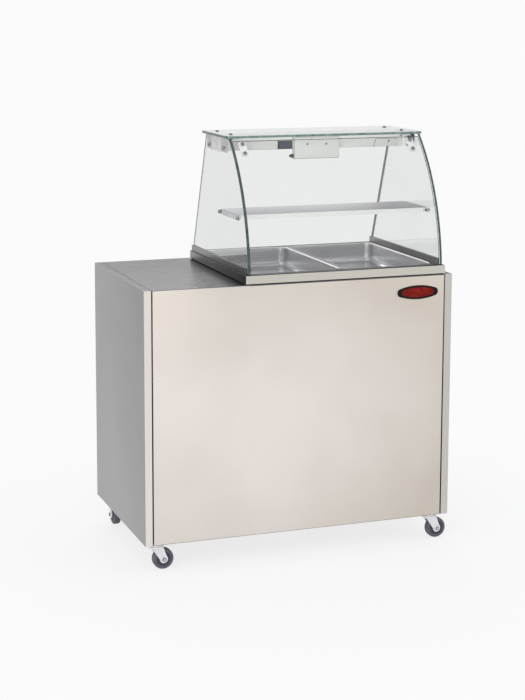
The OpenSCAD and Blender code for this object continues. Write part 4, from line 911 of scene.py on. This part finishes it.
def ribRingTree():  # ribs that point away from the middle of a ring about the y axis
    tree, start, end = newTree("Geometry", "ribRing", "Geometry", (
        ("Count", "Int", 8), ("Ring Radius", "Float", 0.01), ("First Angle", "Float", 0.0),
        ("Sweep", "Float", 2 * pi), ("Rib Size", "Vector", (0.001, 0.001, 0.001)),
        ("Finish", "Material", None)))
    index = tree.nodes.new("GeometryNodeInputIndex").outputs[0]
    share = addMath(tree, "DIVIDE", index, start["Count"])
    angle = addMath(tree, "ADD", addMath(tree, "MULTIPLY", share, start["Sweep"]),
                    start["First Angle"])
    x, z = (addMath(tree, "MULTIPLY", addMath(tree, wave, angle), start["Ring Radius"])
            for wave in ("COSINE", "SINE"))
    points = addNode(tree, "GeometryNodePoints", {
        "Count": start["Count"], "Position": combine(tree, x, 0.0, z)})
    rib = addNode(tree, "GeometryNodeMeshCylinder", {"Vertices": 8, "Radius": 0.5, "Depth": 1.0})
    outward = combine(tree, 0.0, addMath(tree, "SUBTRACT", pi / 2, angle), 0.0)
    closeTree(tree, points.outputs[0], rib.outputs["Mesh"], outward, start["Rib Size"],
              start["Finish"], end)
    return tree


headShape = {"sides": 20, "top": 0.72, "barWidth": 0.1, "barHeight": 0.25}  # shares of the head


def screwRowTree():  # a cross-head screw on each point, each turned at random
    tree, start, end = newTree("Geometry", "screwRow", "Geometry", (
        ("Head Size", "Float", 0.006), ("Head Height", "Float", 0.002),
        ("Facing", "Vector", (0, 0, 0)), ("Seed", "Int", 3), ("Finish", "Material", None)))
    size, height = start["Head Size"], start["Head Height"]
    half = addMath(tree, "MULTIPLY", size, 0.5)
    dome = addNode(tree, "GeometryNodeMeshCone", {
        "Vertices": headShape["sides"], "Side Segments": 1, "Radius Bottom": half,
        "Radius Top": addMath(tree, "MULTIPLY", half, headShape["top"]), "Depth": height})
    join = addNode(tree, "GeometryNodeJoinGeometry", {0: dome.outputs["Mesh"]})
    width = addMath(tree, "MULTIPLY", size, headShape["barWidth"])
    proud = addMath(tree, "MULTIPLY", height, headShape["barHeight"])
    for sides in ((half, width), (width, half)):  # the raised edges of a cross slot
        bar = addNode(tree, "GeometryNodeMeshCube", {"Size": combine(tree, *sides, proud)})
        lift = addNode(tree, "GeometryNodeTransform", {
            "Geometry": bar.outputs["Mesh"], "Translation": combine(tree, 0.0, 0.0, height)})
        feed(tree, join.inputs, {0: lift.outputs[0]})
    spin = addNode(tree, "FunctionNodeRandomValue", {3: pi, "Seed": start["Seed"]})
    turns = [addNode(tree, "FunctionNodeEulerToRotation", {0: euler}).outputs[0]
             for euler in (start["Facing"], combine(tree, 0.0, 0.0, spin.outputs[1]))]
    both = addNode(tree, "FunctionNodeRotateRotation", {0: turns[0], 1: turns[1]})
    both.rotation_space = "LOCAL"
    closeTree(tree, start["Geometry"], join.outputs[0], both.outputs[0], (1, 1, 1),
              start["Finish"], end)
    return tree


def grow(tree, name, values, body, points=(), place=Matrix.Identity(4)):
    mesh = bpy.data.meshes.new(name + "Points")
    mesh.from_pydata([Vector(point) * mm for point in points], [], [])
    seed = addObject(name + "Points", mesh)
    modifier = seed.modifiers.new("grow", "NODES")
    modifier.node_group = tree
    for item in tree.interface.items_tree:
        if item.item_type == "SOCKET" and item.in_out == "INPUT" and item.name in values:
            modifier[item.identifier] = values[item.name]
    grown = plainMesh(name, seed)
    grown.transform(place)
    return finishPiece(name, grown, body)


ribRing, screwRow = ribRingTree(), screwRowTree()


def growRing(name, look, finish, body, place):
    grow(ribRing, name, {
        "Count": look["count"], "Ring Radius": look["radius"] * mm,
        "First Angle": radians(look.get("first", 0)), "Sweep": radians(look.get("sweep", 360)),
        "Rib Size": [part * mm for part in look["size"]], "Finish": materials[finish]},
        body, place=place)


# Spokes on the caster hubs
spokeLook = {"count": 6, "radius": 13.6, "size": (2.6, 22.6, 8)}
for corner in corners:
    hub = "caster_hub_" + corner
    growRing("spokes_" + corner, spokeLook, "hubGrey", bodyOf(hub), wheelPlace(hub))

# Thermostat knob: grip ribs and a pointer that turn with it, and marks that stay on the panel.
# Angles are in degrees, and y is how far back each ring stands.
rearFace = 276.0  # the control panel's outer face
dialLook = {"first": -60, "sweep": 300, "marks": 11, "numbers": 6, "numberRadius": 33,
            "numberSize": 8}
knobRings = {
    "knobGrip": {"count": 20, "radius": 17.9, "size": (1.7, 9, 1.5), "y": 286.5},
    "knobPointer": {"count": 1, "radius": 11, "size": (1.8, 0.7, 11), "y": 293, "first": 90},
    "dialMarks": {"count": dialLook["marks"], "radius": 25.5, "size": (1.3, 0.7, 3.8),
                  "y": rearFace, "first": dialLook["first"],
                  "sweep": dialLook["sweep"] * dialLook["marks"] / (dialLook["marks"] - 1)},
}
low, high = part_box("thermostat_knob")
knobX, knobZ = (low.x + high.x) / 2, (low.z + high.z) / 2
knobBody, deck = bodyOf("thermostat_knob"), bodyOf("control_fascia")
for name, finish, body in (("knobGrip", "blackPlastic", knobBody),
                           ("knobPointer", "markWhite", knobBody),
                           ("dialMarks", "blackPlastic", deck)):
    place = Matrix.Translation((knobX, knobRings[name]["y"] * mm, knobZ))
    growRing(name, knobRings[name], finish, body, place)

# Words on the control panel: how far they stand out, how much bolder they are drawn, and the
# size and distance of the marks above and below the mains switch
wordLook = {"depth": 0.15, "bolder": 0.12, "seat": 0.1, "curveSteps": 3, "switchSize": 7,
            "switchGap": 8}


def panelWord(name, text, size, x, z):
    curve = bpy.data.curves.new(name + "Curve", "FONT")
    curve.body, curve.size, curve.extrude = text, size * mm, wordLook["depth"] * mm
    curve.align_x, curve.align_y = "CENTER", "CENTER"
    curve.resolution_u = wordLook["curveSteps"]
    curve.offset = wordLook["bolder"] * mm
    mesh = plainMesh(name, addObject(name + "Curve", curve))
    turn = Matrix.Rotation(pi, 4, "Z") @ Matrix.Rotation(pi / 2, 4, "X")
    seat = (x * mm, (rearFace + wordLook["seat"]) * mm, z * mm)
    mesh.transform(Matrix.Translation(seat) @ turn)
    mesh.materials.clear()
    mesh.materials.append(materials["blackPlastic"])
    return finishPiece(name, mesh, deck)


for number in range(dialLook["numbers"]):  # clockwise as seen from behind
    share = number / (dialLook["numbers"] - 1)
    angle = radians(dialLook["first"] + dialLook["sweep"] * share)
    text, reach = str(number + 1), dialLook["numberRadius"]
    panelWord("dialNumber" + text, text, dialLook["numberSize"],
              knobX / mm + reach * cos(angle), knobZ / mm + reach * sin(angle))
low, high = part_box("power_switch")
switchX, gap = (low.x + high.x) / 2 / mm, wordLook["switchGap"]
panelWord("switchOn", "I", wordLook["switchSize"], switchX, high.z / mm + gap)
panelWord("switchOff", "O", wordLook["switchSize"], switchX, low.z / mm - gap)

# Screws that hold the control panel: one in each corner and one at the middle of the top
screwLook = {"side": 11, "rise": 12, "head": 9, "height": 2.4, "seed": 5}
low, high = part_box("control_fascia")
left, right = low.x / mm + screwLook["side"], high.x / mm - screwLook["side"]
foot, head = low.z / mm + screwLook["rise"], high.z / mm - screwLook["rise"]
rows = [(x, rearFace, z) for x, z in
        ((left, foot), (left, head), (right, foot), (right, head), (0, head))]
grow(screwRow, "panelScrews", {
    "Head Size": screwLook["head"] * mm, "Head Height": screwLook["height"] * mm,
    "Facing": (-pi / 2, 0, 0), "Seed": screwLook["seed"],
    "Finish": materials["boltSteel"]}, deck, rows)
print("repeated pieces grown")

# Floor, world, lamps and camera
studioWhite = (0.962, 0.962, 0.962)
floorLook = {"radius": 9, "sides": 96, "colour": (0.93, 0.93, 0.93), "rough": 0.9,
             "fade": (0.5, 1.5), "nearShare": 0.78}  # the white is weaker near the trolley
worldLook = {"ambient": (0.62, 0.62, 0.63)}


def studioRays(tree):  # the rays that are to see the white studio
    path = tree.nodes.new("ShaderNodeLightPath").outputs
    seen = addMath(tree, "MAXIMUM", path["Is Camera Ray"], path["Is Glossy Ray"])
    return addMath(tree, "MAXIMUM", seen, path["Is Transmission Ray"])


def makeFloor(look):
    shape = bmesh.new()
    bmesh.ops.create_circle(shape, cap_ends=True, radius=look["radius"], segments=look["sides"])
    floor = addObject("studioFloor", meshFrom("studioFloor", shape, ()))
    material, tree, shader, place = startMaterial("studioFloor")
    feed(tree, shader.inputs, {"Base Color": look["colour"], "Roughness": look["rough"]})
    glow = addNode(tree, "ShaderNodeEmission", {"Color": studioWhite, "Strength": 1.0})
    fade = addRange(tree, addVector(tree, "LENGTH", place), *look["fade"], look["nearShare"])
    mixShaders(tree, addMath(tree, "MULTIPLY", studioRays(tree), fade), shader.outputs[0],
               glow.outputs[0])
    floor.data.materials.append(material)


def makeWorld(look):
    world = bpy.data.worlds.new("studioWorld")
    world.use_nodes = True
    bpy.context.scene.world = world
    tree = world.node_tree
    tree.nodes.clear()
    tree.nodes.new("ShaderNodeOutputWorld")
    ambient, shown = (addNode(tree, "ShaderNodeBackground", {"Color": colour})
                      for colour in (look["ambient"], studioWhite))
    mixShaders(tree, studioRays(tree), ambient.outputs[0], shown.outputs[0])


lampLook = {
    "keyLight": {"from": (-2.6, -3.3, 2.6), "size": 3.6, "watts": 92},
    "fillLight": {"from": (3.4, -2, 2.6), "size": 2.4, "watts": 22},
    "backLight": {"from": (0.6, 3.2, 3), "size": 2.4, "watts": 45},
}
lampAim = (0, 0, 0.7)


def makeLamp(name, look):
    data = bpy.data.lights.new(name, "AREA")
    data.shape, data.size, data.energy = "SQUARE", look["size"], look["watts"]
    lamp = addObject(name, data)
    lamp.location = look["from"]
    aim = Vector(lampAim) - Vector(look["from"])
    lamp.rotation_euler = aim.to_track_quat("-Z", "Y").to_euler()


# Angles in degrees, focal length and centre row in pixels of the picture, place in millimetres
cameraLook = {"yaw": 20.068, "pitch": 8.611, "roll": 0.197, "focal": 1669.4, "centreRow": 252,
              "place": (-1911.6, -5158.3, 1790.7), "rows": 700, "clip": (0.1, 60)}


def makeCamera(look):
    data = bpy.data.cameras.new("photoCamera")
    data.lens = look["focal"] * data.sensor_width / look["rows"]
    data.shift_y = (look["centreRow"] - look["rows"] / 2) / look["rows"]
    data.clip_start, data.clip_end = look["clip"]
    camera = addObject("photoCamera", data)
    yaw, pitch, roll = (radians(look[key]) for key in ("yaw", "pitch", "roll"))
    ahead = Vector((sin(yaw) * cos(pitch), cos(yaw) * cos(pitch), -sin(pitch)))
    right = Vector((cos(yaw), -sin(yaw), 0))
    up = right.cross(ahead)
    rolledRight = cos(roll) * right + sin(roll) * up
    rolledUp = -sin(roll) * right + cos(roll) * up
    turn = Matrix((rolledRight, rolledUp, -ahead)).transposed().to_4x4()
    camera.matrix_world = Matrix.Translation(Vector(look["place"]) * mm) @ turn
    bpy.context.scene.camera = camera


makeFloor(floorLook)
makeWorld(worldLook)
for name, look in lampLook.items():
    makeLamp(name, look)
makeCamera(cameraLook)
bpy.context.scene.view_settings.view_transform = "Standard"
print("floor, lamps and camera set")
